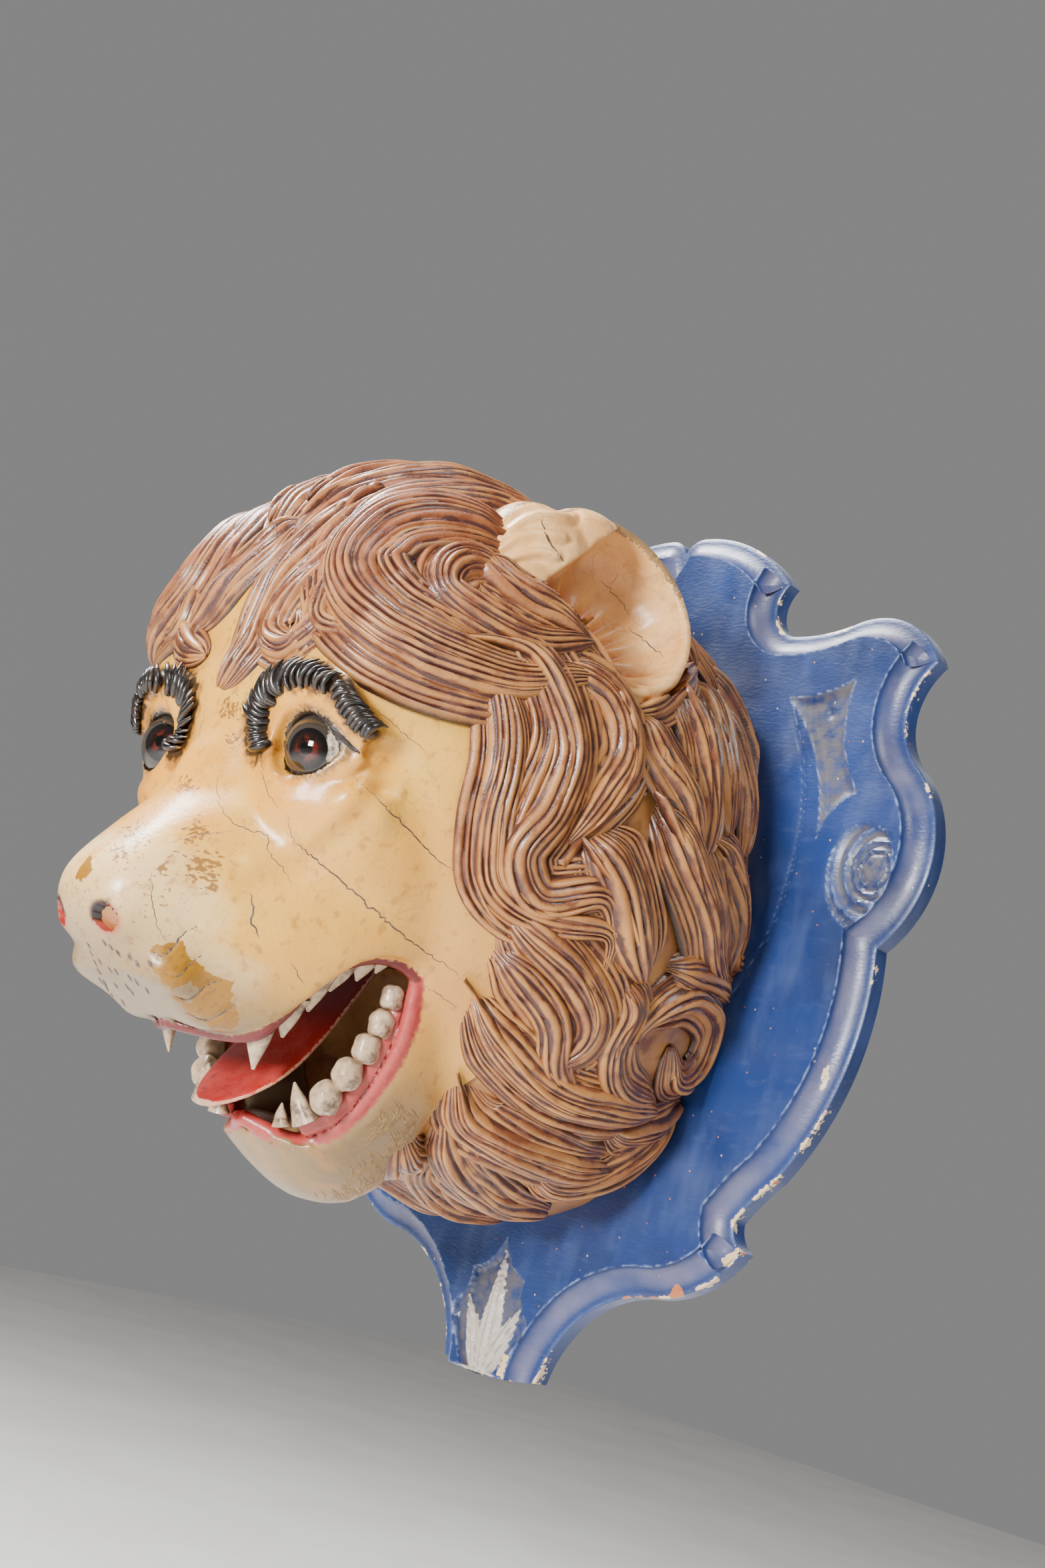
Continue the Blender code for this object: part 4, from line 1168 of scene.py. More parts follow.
    def wear(self, where: np.ndarray, outline: np.ndarray, edge: list[int]) -> Fields:
        """Bare wood and cream chips, seen in the photograph or worn by chance along the edge.

        Args:
            where: The board's corners as drawn.
            outline: Its outline.
            edge: The corners on its outer edge.

        Returns:
            Bareness and chips of each corner, from 0 to 1.
        """
        pixels = self.camera.project(where * TO_METRES)
        right = (where[:, 0] > 0) & (where[:, 1] > 0.5)
        bare = right * covered(pixels, self.bare_patches, 9.0)
        chip = right * covered(pixels, self.chip_patches, 7.0)
        worn = np.zeros(len(where))
        for a, b, size in np.random.default_rng(4).uniform(0, 1, (self.worn_spots, 3)):
            spot = outline[int(a * len(outline)) % len(outline)]
            gap = np.hypot(where[edge, 0] - spot[0], where[edge, 2] - spot[1])
            worn[edge] = np.maximum(worn[edge], ramp(gap, 7 + 14 * size, 2.0) * (0.35 + 0.35 * b))
        high, low, half = self.tail_end
        tail = ramp(where[:, 2], high, low) * (np.abs(where[:, 0]) < half)
        return {"bare": bare, "chip": np.max((chip, worn, 0.45 * tail), axis=0)}

    def build(self) -> Solid:
        """Carve the board and paint it."""
        outline = self.half_outline()
        insets, depths = self.section()
        rings = [self.ring(outline, inset) for inset in insets]
        count = len(rings[0])
        flat, faces, rim = self.face_mesh(rings[-1])
        fields = self.carving(flat)
        corners = [(x, self.face + h, z) for (x, z), h in zip(flat, fields.pop("height"))]
        loops: list[Sequence[int]] = []
        for ring, depth in zip(rings[:-1], depths):
            loops.append(list(range(len(corners), len(corners) + count)))
            corners += [(x, depth, z) for x, z in ring]
        loops.append(rim)
        for outer, inner in zip(loops, loops[1:]):
            faces += [(outer[i - 1], outer[i], inner[i], inner[i - 1]) for i in range(count)]
        faces.append(tuple(loops[0]))
        board = face_outward(from_faces("painted_backboard", [place(c) for c in corners], faces))
        # Pale arrises, rubbed paint and painted highlight, along the cove's inner edge and the top
        # of the outer edge.
        near_rim = hump(distance_to_line(flat, np.vstack((rings[-1], rings[-1][:1]))), 1.4)
        fields["arris_wear_and_highlight"] = np.maximum(fields["arris_wear_and_highlight"], near_rim)
        blank = np.zeros(len(corners) - len(flat))
        fields = {name: np.concatenate((values, blank)) for name, values in fields.items()}
        fields["arris_wear_and_highlight"][loops[2]] = 0.55
        # The cove field is a painted sheen, palest across the middle of the cove.
        fields["cove"] = np.zeros(len(corners))
        for row, loop in enumerate(loops[3:-1], start=1):
            fields["cove"][loop] = math.sin(math.pi * row / (len(loops) - 3)) ** 0.8
        keep(board, **fields, **self.wear(np.array(corners), rings[0], [*loops[1], *loops[2]]))
        soft_shading(board, self.shading_angle)
        return dress(board, BoardPaint().build(), Slot.BLUE, "backboard")


# ---------------------------------------------------------------- head

def oval(half_x: float, half_y: float, power: float, count: int = 28) -> list[tuple[float, float]]:
    """Points round an oval whose power squares its corners."""
    points = []
    for i in range(count):
        angle = 2 * math.pi * i / count
        cosine, sine = math.cos(angle), math.sin(angle)
        points.append((half_x * math.copysign(abs(cosine) ** (2 / power), cosine),
                       half_y * math.copysign(abs(sine) ** (2 / power), sine)))
    return points


def rope(name: str, line: np.ndarray, radii: np.ndarray, sides: int = 8, flat: float = 1.0,
         outward: np.ndarray | None = None) -> Solid:
    """Closed round or flattened rope along a drawn line.

    Args:
        name: The object's name.
        line: Points of its middle, drawn in millimetres.
        radii: Half its width at each point.
        sides: Corners of its section.
        flat: Its height as a share of its width.
        outward: The way its top faces at each point, in drawn axes.

    Returns:
        The rope.
    """
    along = headings(line)
    top = np.tile((0.3, 1.0, 0.2), (len(line), 1)) if outward is None else outward
    across = unit(np.cross(along, top))
    top = np.cross(across, along)
    rings = []
    for point, side, up, radius in zip(line, across, top, radii):
        turns = [2 * math.pi * k / sides for k in range(sides)]
        rings.append([place(point + radius * (side * math.cos(t) + up * math.sin(t) * flat))
                      for t in turns])
    return loft(name, rings)


def surface_of(obj: Solid) -> BVHTree:
    """A piece's surface, for rays to be cast on."""
    mesh = obj.data
    return BVHTree.FromPolygons([v.co.copy() for v in mesh.vertices],
                                [tuple(p.vertices) for p in mesh.polygons])


@dataclass
class HeadClay:
    """Masses of the head under the hair, from which the face and the mane are carved."""

    mane: Curve = (
        (10, 160, -238, 232), (28, 166, -240, 236), (60, 184, -244, 244), (110, 198, -242, 252),
        (170, 204, -228, 262), (230, 198, -190, 272), (280, 184, -146, 276), (330, 164, -92, 270),
        (370, 150, -35, 247), (400, 136, 0, 222), (418, 116, 28, 192), (430, 74, 70, 150),
    )
    face: Curve = (
        (200, 120, -180, 122), (250, 131, -170, 132), (300, 139, -130, 136), (345, 136, -112, 138),
        (368, 130, -100, 137), (388, 123, -86, 134), (405, 114, -70, 127), (420, 100, -50, 114),
        (430, 82, -26, 98), (437, 56, 4, 80),
    )
    muzzle: Curve = (
        (290, 128, -150, 66), (330, 123, -160, 64), (360, 113, -176, 58), (385, 101, -182, 48),
        (408, 87, -182, 32), (430, 73, -174, 10), (450, 62, -160, -14), (468, 55, -146, -36),
        (484, 47, -135, -56), (495, 39, -125, -70), (503, 27, -114, -83), (507, 12, -105, -92),
    )
    jaw: Curve = (
        (-70, 116, 190, 335), (-100, 115, 190, 335), (-139, 110, 190, 332), (-175, 99, 190, 330),
        (-206, 82, 190, 328), (-222, 68, 190, 323), (-235, 58, 192, 308), (-248, 45, 198, 290),
        (-259, 28, 210, 272), (-265, 12, 228, 256),
    )
    gape: Curve = (
        (285, -97), (279, -120), (277, -150), (277, -180), (280, -206), (288, -223), (302, -228),
        (321, -223), (345, -214), (530, -214), (530, -136), (455, -151), (433, -160), (407, -171),
        (386, -169), (370, -156), (354, -120), (340, -101), (322, -91), (300, -90),
    )
    gape_half: float = 200.0
    hollow: Curve = (
        (-84, 84, 215, 320), (-110, 96, 208, 330), (-140, 92, 205, 340), (-172, 79, 205, 345),
        (-196, 62, 210, 345), (-210, 46, 222, 345),
    )
    palate: Curve = (
        (235, 84, -140, -98), (300, 92, -150, -82), (330, 85, -190, -90), (352, 72, -200, -108),
        (370, 54, -200, -132), (388, 36, -200, -148), (408, 18, -200, -158),
    )
    hollow_power: float = 3.6
    lined_heights: Point = (-218, -76)
    lined_depths: Point = (228, 412)
    lining_reach: Point = (1.10, 1.12)
    swellings: Sequence[tuple[Point, Point, float]] = (
        ((84, 404, 84), (44, 30, 28), -10), ((104, 374, -2), (32, 36, 22), 0),
        ((28, 478, -117), (16, 18, 14), 0), ((32, 442, -140), (32, 26, 22), 0),
    )
    bridge: tuple[Point, Point, float] = ((0, 420, 0), (36, 30, 56), -14)
    orbit: tuple[Point, Point] = ((89, 426, 29), (30, 20, 27))
    clay_voxel: float = 5.0
    clay_passes: int = 9
    skull_voxel: float = 4.0
    skull_passes: int = 3

    def form(self, name: str, sections: Curve, power: float, upright: bool = False) -> Solid:
        """Closed form through sections of the head.

        Args:
            name: The form's name.
            sections: Place, half width, and the section's start and end in its own plane.
            power: How square the sections are.
            upright: Whether the places are heights, with level sections, and not depths.

        Returns:
            The form.
        """
        rings = []
        for at, half, low, high in sections:
            section = [(x, (low + high) / 2 + y) for x, y in oval(half, (high - low) / 2, power)]
            rings.append([place((x, y, at) if upright else (x, at, y)) for x, y in section])
        return loft(name, rings)

    def build(self) -> Solid:
        """Mass the head up, soften it, and open and hollow the mouth."""
        masses = [
            self.form("mane_mass", self.mane, 2.15), self.form("face_mass", self.face, 2.6),
            self.form("jaw_mass", self.jaw, 2.6, upright=True),
            self.form("muzzle_mass", self.muzzle, 2.3),
        ]
        near = [ball("swelling", *form) for form in self.swellings]
        masses += near + mirrored(near) + [ball("bridge", *self.bridge)]
        skull = merged("skull", masses)
        modify(skull, "REMESH", mode="VOXEL", voxel_size=self.clay_voxel * MM)
        modify(skull, "SMOOTH", factor=0.5, iterations=self.clay_passes)
        orbit = ball("orbit", *self.orbit)
        gape = loft("gape", [[place((side * self.gape_half, depth, z)) for depth, z in self.gape]
                             for side in (-1, 1)])
        cut(skull, [orbit, *mirrored([orbit]), gape,
                    self.form("hollow", self.hollow, self.hollow_power, upright=True),
                    self.form("palate", self.palate, self.hollow_power)])
        modify(skull, "REMESH", mode="VOXEL", voxel_size=self.skull_voxel * MM)
        modify(skull, "SMOOTH", factor=0.5, iterations=self.skull_passes)
        return skull

    def reach(self, sections: Curve, across: np.ndarray, at: np.ndarray,
              over: np.ndarray) -> np.ndarray:
        """How far out points lie in a form, 1 being its skin.

        Args:
            sections: The form's sections.
            across: Places of the points across the head.
            at: Their places along the form.
            over: Their places in the third direction.

        Returns:
            The share of the form's half size at which each point lies.
        """
        rows = np.array(sorted(sections), float)
        half, low, high = (np.interp(at, rows[:, 0], rows[:, k]) for k in (1, 2, 3))
        turned = np.abs((over - (low + high) / 2) / ((high - low) / 2))
        power = self.hollow_power
        return ((across / half) ** power + turned ** power) ** (1 / power)

    def mouth_lining(self, drawn_points: np.ndarray) -> np.ndarray:
        """How surely each point lies on the lining of the mouth, from 0 to 1."""
        x, depth, z = half_head(drawn_points).T
        lower = self.reach(self.hollow, x, z, depth) < self.lining_reach[0]
        upper = self.reach(self.palate, x, depth, z) < self.lining_reach[1]
        lower &= (z > self.lined_heights[0]) & (z < self.lined_heights[1])
        upper &= (depth > self.lined_depths[0]) & (depth < self.lined_depths[1])
        return (lower | upper).astype(float)


@dataclass
class Face:
    """The face, jaw and mouth, with lips, lids, nostrils, whisker lines, chips and cracks."""

    camera: PhotoCamera
    clay: HeadClay
    voxel: float = 2.25
    passes: int = 4
    back_depth: float = 222.0
    crown_cut: tuple[Point, Point] = ((0, 330, 150), (0, -0.60, 0.80))
    brow_roll: tuple[float, Curve] = (
        8, ((50, 420, 22), (56, 427, 50), (84, 429, 70), (110, 418, 62), (128, 400, 38)))
    upper_lid: tuple[float, Curve] = (
        4.6, ((58, 409, 22), (66, 421, 48), (88, 426, 58), (110, 415, 48), (124, 400, 30)))
    lower_lid: tuple[float, Curve] = (
        4.6, ((58, 409, 20), (67, 412, 6), (88, 411, 1), (110, 404, 10), (124, 399, 28)))
    upper_rim: tuple[float, Curve] = (
        4.4, ((63, 413, 23), (67, 418, 42), (84, 421, 53), (103, 417, 45), (117, 406, 28)))
    lower_rim: tuple[float, Curve] = (
        4.4, ((63, 413, 25), (68, 416, 10), (86, 417, 4), (104, 412, 11), (117, 406, 27)))
    upper_lip: tuple[float, Curve] = (
        5, ((107, 285, -99), (104, 306, -92), (97, 328, -96), (86, 350, -114), (70, 366, -150),
            (58, 373, -165), (34, 385, -170), (0, 405, -170)))
    lower_lip: tuple[float, Curve] = (
        6, ((107, 286, -99), (102, 280, -139), (88, 280, -174), (68, 283, -205), (48, 288, -222),
            (28, 302, -226), (0, 322, -219)))
    gum: tuple[float, Curve] = (
        8.6, ((92, 283, -108), (89, 285, -140), (79, 286, -172), (64, 294, -200), (46, 303, -216)))
    eye_radius: float = 26.0
    socket_gap: float = 0.5
    hollow: Point = (45, 28, 11)
    nostril: tuple[Point, Point] = ((27, 490, -118), (9, 16, 8))
    seen_from: Point = (0.72, 0.67, -0.2)
    lid_fold: Curve = (
        (58, 412, -8), (76, 418, -16), (100, 402, -10), (120, 388, 4), (134, 372, 14))
    bone_shadow: Point = (4, -6, -15)
    whisker_groove: Point = (-1.1, 3.2)
    fold_groove: Point = (-1.6, 4.0)
    fold_roll: Point = (1.2, 4.0)
    fold_gap: float = 8.0
    bone_ridge: Point = (2.6, 9.0)
    bone_hollow: Point = (-3.0, 12.0)
    seam_depth: float = 1.8
    brow_ridge: Point = (3.0, 8.0)
    whiskers: Sequence[Curve] = (
        ((229, 1428), (244, 1434), (256, 1424), (266, 1412), (278, 1398), (297, 1390)),
        ((246, 1461), (264, 1465), (278, 1455), (288, 1443), (305, 1432)),
        ((260, 1494), (280, 1500), (297, 1490), (305, 1481), (321, 1473), (337, 1469)),
        ((280, 1520), (305, 1530), (325, 1524), (346, 1512), (354, 1506)),
    )
    ochre: Sequence[Curve] = (
        ((225, 1427), (235, 1416), (272, 1414), (288, 1437), (305, 1449), (315, 1465), (337, 1469),
         (354, 1470), (346, 1502), (355, 1518), (357, 1535), (350, 1547), (329, 1545), (305, 1534),
         (280, 1518), (264, 1502), (256, 1481), (240, 1473), (231, 1453)),
        ((110, 1304), (124, 1280), (140, 1284), (135, 1306), (121, 1322), (108, 1317)),
        ((132, 1326), (138, 1338), (133, 1341)),
        ((147, 1354), (163, 1360), (158, 1366), (148, 1362)),
    )
    bare_spots: Sequence[Curve] = (
        ((262, 1482), (286, 1472), (296, 1490), (286, 1506), (268, 1500)),
        ((234, 1436), (246, 1438), (240, 1446)),
    )
    flakes: Sequence[Point] = (
        (305, 1302, 34), (296, 1250, 26), (205, 1245, 26), (184, 1278, 18), (245, 1302, 14),
        (280, 1180, 20), (345, 1062, 20), (350, 1110, 12), (320, 1330, 16), (150, 1235, 16),
    )
    cracks: Sequence[tuple[float, Curve]] = (
        (0.55, ((531, 1165), (566, 1198), (599, 1231), (648, 1282), (684, 1308))),
        (0.65, ((429, 1220), (442, 1261), (480, 1294), (513, 1322), (570, 1373), (611, 1408),
                (664, 1445), (688, 1463))),
        (0.35, ((633, 1475), (660, 1493), (686, 1512))),
        (0.8, ((376, 1341), (380, 1367), (378, 1384), (390, 1406))),
        (0.4, ((325, 1167), (327, 1192), (337, 1220), (362, 1241), (399, 1253), (403, 1277),
               (423, 1302), (439, 1326))),
        (0.35, ((227, 1306), (229, 1355), (235, 1384), (248, 1412))),
        (0.35, ((437, 1445), (447, 1460), (456, 1476))),
        (0.4, ((386, 1130), (395, 1160), (402, 1190), (420, 1215))),
        (0.3, ((640, 1130), (600, 1095), (560, 1060))),
        (0.3, ((250, 1265), (300, 1252), (350, 1246))),
        (0.3, ((310, 1060), (300, 1100), (312, 1140))),
    )
    lip_dashes: Sequence[Curve] = (
        ((155, 1412), (190, 1436), (222, 1446)), ((150, 1440), (170, 1455), (220, 1482)),
        ((160, 1470), (185, 1482), (200, 1490)), ((130, 1415), (150, 1470), (180, 1500)),
    )
    chin_line: Curve = ((604, 1650), (600, 1700), (580, 1745), (548, 1775), (500, 1790))
    chin_hairs: int = 90
    chin_hair_length: float = 50.0
    lid_wing: Curve = ((498, 1092), (516, 1110), (540, 1130))
    cheekbone: Curve = (
        (580, 1108), (556, 1150), (531, 1190), (498, 1228), (455, 1262), (425, 1276), (380, 1290))

    brow_lines: list[np.ndarray] = field(default_factory=list)

    def carve(self, skull: Solid) -> Solid:
        """Cut the face out of the clay, with its rolls fused on."""
        head = duplicate(skull)
        rolls = []
        for radius, line in (self.brow_roll, self.upper_lid, self.lower_lid, self.upper_rim,
                             self.lower_rim, self.upper_lip, self.lower_lip, self.gum):
            middle = smooth_line(line, 8)
            rolls.append(rope("roll", middle, np.full(len(middle), float(radius)), 14))
        head = merged("carved_face", [head, *rolls, *mirrored(rolls)])
        modify(head, "REMESH", mode="VOXEL", voxel_size=self.voxel * MM)
        modify(head, "SMOOTH", factor=0.5, iterations=self.passes)
        for point, way in (((0, self.back_depth, 0), (0, -1, 0)), self.crown_cut):
            with editing(head):
                bpy.ops.mesh.bisect(plane_co=place(point), plane_no=(0, -way[1], way[2]),
                                    use_fill=True, clear_outer=True)
        return head

    def seen_line(self, surface: BVHTree, pixels: Curve, spacing: float) -> np.ndarray:
        """Drawn points of a surface where a line of the photograph meets it."""
        rays = (self.camera.ray(pixel) for pixel in even_line(pixels, spacing))
        hits = (surface.ray_cast(*ray)[0] for ray in rays)
        return np.array([as_drawn(hit) for hit in hits if hit is not None])

    def set_back(self, half: np.ndarray) -> np.ndarray:
        """Points, folded to the left, with those beside the bridge of the nose pushed back."""
        x, height, push = self.hollow
        beside = hump(half[:, 0] - x, 19) * hump(half[:, 2] - height, 40)
        return half - push * beside[:, None] * (0, 1, 0)

    def seam(self, half: np.ndarray) -> np.ndarray:
        """How near each point, folded to the left, is to the groove between lower lip and gum."""
        lip, gum = (distance_to_line(half, smooth_line(line, 5)) / radius
                    for radius, line in (self.lower_lip, self.gum))
        return hump(lip - gum, 0.17) * ramp(lip, 1.7, 1.3)

    def sink(self, corners: np.ndarray, centre: Point, radii: Point) -> np.ndarray:
        """Corners, with those that lie in a ball on either side pushed back to its far side."""
        moved = corners.copy()
        for side in Side:
            away = (moved - np.array(centre) * (side.value, 1, 1)) / np.array(radii)
            held = np.linalg.norm(away, axis=1) < 1.0
            flat = np.hypot(away[held, 0], away[held, 2])
            moved[held, 1] = centre[1] - radii[1] * np.sqrt(np.maximum(0.0, 1 - flat ** 2))
        return moved

    def build(self, skull: Solid) -> Solid:
        """Carve and paint the face.

        Args:
            skull: The head's clay.

        Returns:
            The face.
        """
        head = self.carve(skull)
        corners = drawn(head)
        half = half_head(corners)
        corners += (self.set_back(half) - half) * ramp(corners[:, 1], 300, 340)[:, None]
        redraw(head, corners)
        surface = surface_of(head)
        outward = normals(head) * DEPTH_TURNED
        near = (corners[:, 0] > -2) & (outward @ np.array(self.seen_from) > 0.0)
        pixels = self.camera.project(corners * TO_METRES)
        shape = self.modelled(corners, outward, surface, near, pixels)
        socket = self.eye_radius + self.socket_gap
        sunk = self.sink(self.sink(shape, EYE, (socket, socket, socket)), *self.nostril)
        redraw(head, sunk)
        keep(head, **self.mouth_fields(shape), **self.eye_fields(shape), **self.skin_fields(shape),
             **self.flaking(shape, near, pixels))
        soft_shading(head, 60)
        return dress(head, FacePaint().build(), Slot.CREAM, "lion_head")

    def modelled(self, corners: np.ndarray, outward: np.ndarray, surface: BVHTree, near: np.ndarray,
                 pixels: np.ndarray) -> np.ndarray:
        """Model the low relief of the face.

        Args:
            corners: The face's corners as drawn.
            outward: The way each one faces.
            surface: The face's surface.
            near: Whether the photograph shows a corner.
            pixels: Where it is seen.

        Returns:
            The corners with whisker grooves, lid folds, cheekbones, lip seam and brow ridges.
        """
        groove = np.full(len(corners), 99.0)
        spot = near & (pixels[:, 0] < 380) & (pixels[:, 1] > 1370) & (pixels[:, 1] < 1570)
        for line in self.whiskers:
            gap = distance_to_line(pixels[spot], smooth_line(line, 5))
            groove[spot] = np.minimum(groove[spot], gap)
        corners = raised(corners, outward, crest(groove, *self.whisker_groove))
        fold = distance_to_line(half_head(corners), smooth_line(self.lid_fold, 8))
        corners = raised(corners, outward, crest(fold, *self.fold_groove)
                         + crest(fold - self.fold_gap, *self.fold_roll))
        bone = self.seen_line(surface, self.cheekbone, 12.0)
        ridge = distance_to_line(half_head(corners), bone)
        lower = distance_to_line(half_head(corners), bone + self.bone_shadow)
        corners = raised(corners, outward, crest(ridge, *self.bone_ridge)
                         + crest(lower, *self.bone_hollow))
        corners = raised(corners, outward, -self.seam_depth * self.seam(half_head(corners)))
        self.brow_lines = [self.seen_line(surface, row[2], 8.0) for row in Brows.rows]
        return raised(corners, outward, crest(self.brow_gap(corners), *self.brow_ridge))

    def brow_gap(self, corners: np.ndarray) -> np.ndarray:
        """Distance of each corner to the nearest line of brow tufts."""
        half = half_head(corners)
        return np.min([distance_to_line(half, line) for line in self.brow_lines], axis=0)

    def mouth_fields(self, corners: np.ndarray) -> Fields:
        """Where lips, gum, the mouth's lining and the jaw are painted, by corner as drawn."""
        half = half_head(corners)
        _, depth, z = half.T
        lining = self.clay.mouth_lining(corners)
        upper, lower, gum = (
            nearness(distance_to_line(half, smooth_line(line, 5)), radius + 1.1)
            for radius, line in (self.upper_lip, self.lower_lip, self.gum))
        return {
            "lip": upper,
            "gum": np.maximum(lower, gum),
            "seam": self.seam(half),
            "mouth": lining,
            # mouth_floor: olive-grey floor of the mouth, made paler as painted light
            "mouth_floor": lining * ramp(-z, 120, 170),
            # Painted shade, near-black towards the back of the mouth.
            "throat_shade": lining * ramp(-depth - 0.25 * z, -292, -240),
            # jaw: greyer tan towards the bottom of the lower jaw, part paint and part painted shade
            "jaw": ramp(z - 0.25 * (depth - 280), -120, -215) * ramp(depth, 200, 230),
        }

    def eye_fields(self, corners: np.ndarray) -> Fields:
        """Where the brows, lids, lid lines and nostrils are painted, by corner as drawn."""
        half = half_head(corners)
        ball_gap = np.linalg.norm(half - np.array(EYE), axis=1) - self.eye_radius
        upper, lower = (distance_to_line(half, self.set_back(smooth_line(line, 6)))
                        for _, line in (self.upper_rim, self.lower_rim))
        heavy = 2.0 + 2.4 * ramp(half[:, 2], 22, 34)
        hole = (half - np.array(self.nostril[0])) / np.array(self.nostril[1])
        reach = np.linalg.norm(hole, axis=1)
        inner = ramp(hole[:, 2] - hole[:, 0], -0.1, 0.9)
        return {
            "brow": nearness(self.brow_gap(corners), 8.5),
            "lid": nearness(np.where(lower < upper, lower / 3.9, upper / 6.0), 1.0),
            "liner": np.where(np.minimum(upper, lower) < 9, nearness(ball_gap, heavy), 0),
            "nostril": nearness(reach, 1.15),
            # Painted shade deep inside each nostril, and darker paint round the top of each.
            "nostril_shade_inside": 1.6 * nearness(reach, 1.1) * inner,
            "nostril_dark": 0.75 * ramp(reach, 2.0, 1.2) * ramp(hole[:, 2], 0.2, 1.0),
        }

    def skin_fields(self, corners: np.ndarray) -> Fields:
        """Where the skin is white, shaded and yellow, by corner as drawn."""
        half = half_head(corners)
        x, depth, z = half.T
        ball_gap = np.linalg.norm(half - np.array(EYE), axis=1) - self.eye_radius
        low_jaw = ramp(z, -190, -240) * ramp(depth, 200, 230)
        shade = 0.55 * ramp(depth, 345, 285) + 0.5 * low_jaw + 0.6 * hump(ball_gap - 9, 6.3246)
        yellow = (1.3 * hump(x, 46) * hump(z + 25, 60) + 0.8 * hump(ball_gap - 16, 16.1245)
                  + 0.5 * ramp(z, 70, 110) + 0.4 * low_jaw)
        return {
            "muzzle": ramp(depth + 0.9 * (-z - 60), 425, 520),
            "shade": np.clip(shade, 0, 1),
            "yellow": np.clip(yellow, 0, 1),
        }

    def flaking(self, corners: np.ndarray, near: np.ndarray, pixels: np.ndarray) -> Fields:
        """Where the paint has gone to ochre and where it is flaked.

        Args:
            corners: The face's corners as drawn.
            near: Whether the photograph shows a corner.
            pixels: Where it is seen.

        Returns:
            The fields of both.
        """
        ochre = np.full(len(corners), -9.0)
        flake = np.zeros(len(corners))
        spot = near & (pixels[:, 0] < 480)
        seen = pixels[spot]
        worn = np.max([depth_inside(seen, patch) for patch in self.ochre], axis=0)
        kept = np.max([depth_inside(seen, patch) for patch in self.bare_spots], axis=0)
        ochre[spot] = np.clip(np.minimum(worn, -kept) / 2.2, -9, 9)
        flake[spot] = np.max([hump(seen[:, 0] - u, size) * hump(seen[:, 1] - v, size)
                              for u, v, size in self.flakes], axis=0)
        chin = 0.18 * ramp(half_head(corners)[:, 1], 430, 470)
        return {"ochre": ochre, "flake": np.maximum(flake * 0.75, chin)}

    def strokes(self, surface: BVHTree) -> list[Solid]:
        """Painted dashes and hairs, filled cracks and the line past the lids, laid on the face.

        Args:
            surface: The face's surface.

        Returns:
            The strokes, by colour.
        """
        dice = random.Random(11)
        brush = Brush(self.camera, surface)
        cracks = [brush.stroke("crack", line, width, 1.2, dice) for width, line in self.cracks]
        cracks += [brush.stroke("whisker", line, 0.9, 0.3, dice) for line in self.whiskers]
        for line in self.lip_dashes:
            for u, v in even_line(line, 15.0):
                u, v = u + dice.uniform(-4, 4), v + dice.uniform(-4, 4)
                dash = ((u - 2, v - 5), (u + 1, v), (u + 4, v + 6))
                cracks.append(brush.stroke("dash", dash, 1.5, 0.2, dice))
        hairs = []
        path = even_line(self.chin_line, 4.0)
        for _ in range(self.chin_hairs):
            u, v = path[dice.randrange(len(path))]
            u -= abs(dice.gauss(0, 30)) - 15
            length = self.chin_hair_length * dice.uniform(0.6, 1.1)
            bends = ((0, 0.0), (8, 0.3), (-6, 0.7), (-20, 1.0))
            hair = tuple((u + aside, v + share * length) for aside, share in bends)
            hairs.append(brush.stroke("hair", hair, 1.1, 0.0, dice))
        wing = brush.stroke("wing", self.lid_wing, 2.2, 0.2, dice)
        done = []
        for name, strokes, paint in (
            ("filled_cracks", cracks, StrokePaint("grey_crack_filler", "#4b3a30", "#7d6856")),
            ("chin_hair_strokes", hairs, StrokePaint("brown_hair_strokes", "#8a683e", "#a8854e")),
            ("lid_wing", [wing], StrokePaint("black_lid_line", "#1a1411", "#3b2c24")),
        ):
            found = [stroke for stroke in strokes if stroke]
            if found:
                done.append(dress(merged(name, found), paint.build(), Slot.CREAM))
        return done


@dataclass
class Brush:
    """Lays thin strokes on a surface along lines seen in the photograph."""

    camera: PhotoCamera
    surface: BVHTree
    leap: float = 20.0

    def stroke(self, name: str, pixels: Curve, width: float, wobble: float,
               dice: random.Random) -> Solid | None:
        """One tapered stroke.

        Args:
            name: The object's name.
            pixels: The line in the photograph.
            width: Half its width in millimetres.
            wobble: How far it wanders, in pixels.
            dice: Source of chance.

        Returns:
            The stroke, or None where the line misses the surface.
        """
        path = even_line(pixels, 5.0)
        path += np.array([[dice.gauss(0, wobble), dice.gauss(0, wobble)] for _ in path])
        points, outward = [], []
        for pixel in path:
            hit, normal, _, _ = self.surface.ray_cast(*self.camera.ray(pixel))
            if hit is None:
                continue
            point = as_drawn(hit)
            if points and np.linalg.norm(point - points[-1]) > self.leap:
                if len(points) > 2:
                    break
                points, outward = [], []
            points.append(point)
            outward.append(np.array(normal) * DEPTH_TURNED)
        if len(points) < 3:
            return None
        share = np.clip(np.linspace(0, 1, len(points)), 0.03, 0.97)
        radii = width * np.maximum(0.12, np.sin(np.pi * share) ** 0.5)
        return rope(name, np.array(points), radii, 4, 0.35, np.array(outward))


@dataclass
class Ribbon:
    """Mesh of one ribbon of strands, in metres, and the numbers that its paint reads."""

    corners: np.ndarray
    faces: list[list[int]]
    ridge: np.ndarray
    tint: np.ndarray
    sunk: np.ndarray

    def flipped(self) -> "Ribbon":
        """The same ribbon on the other side of the head."""
        return replace(self, corners=self.corners * (-1, 1, 1), faces=[f[::-1] for f in self.faces])


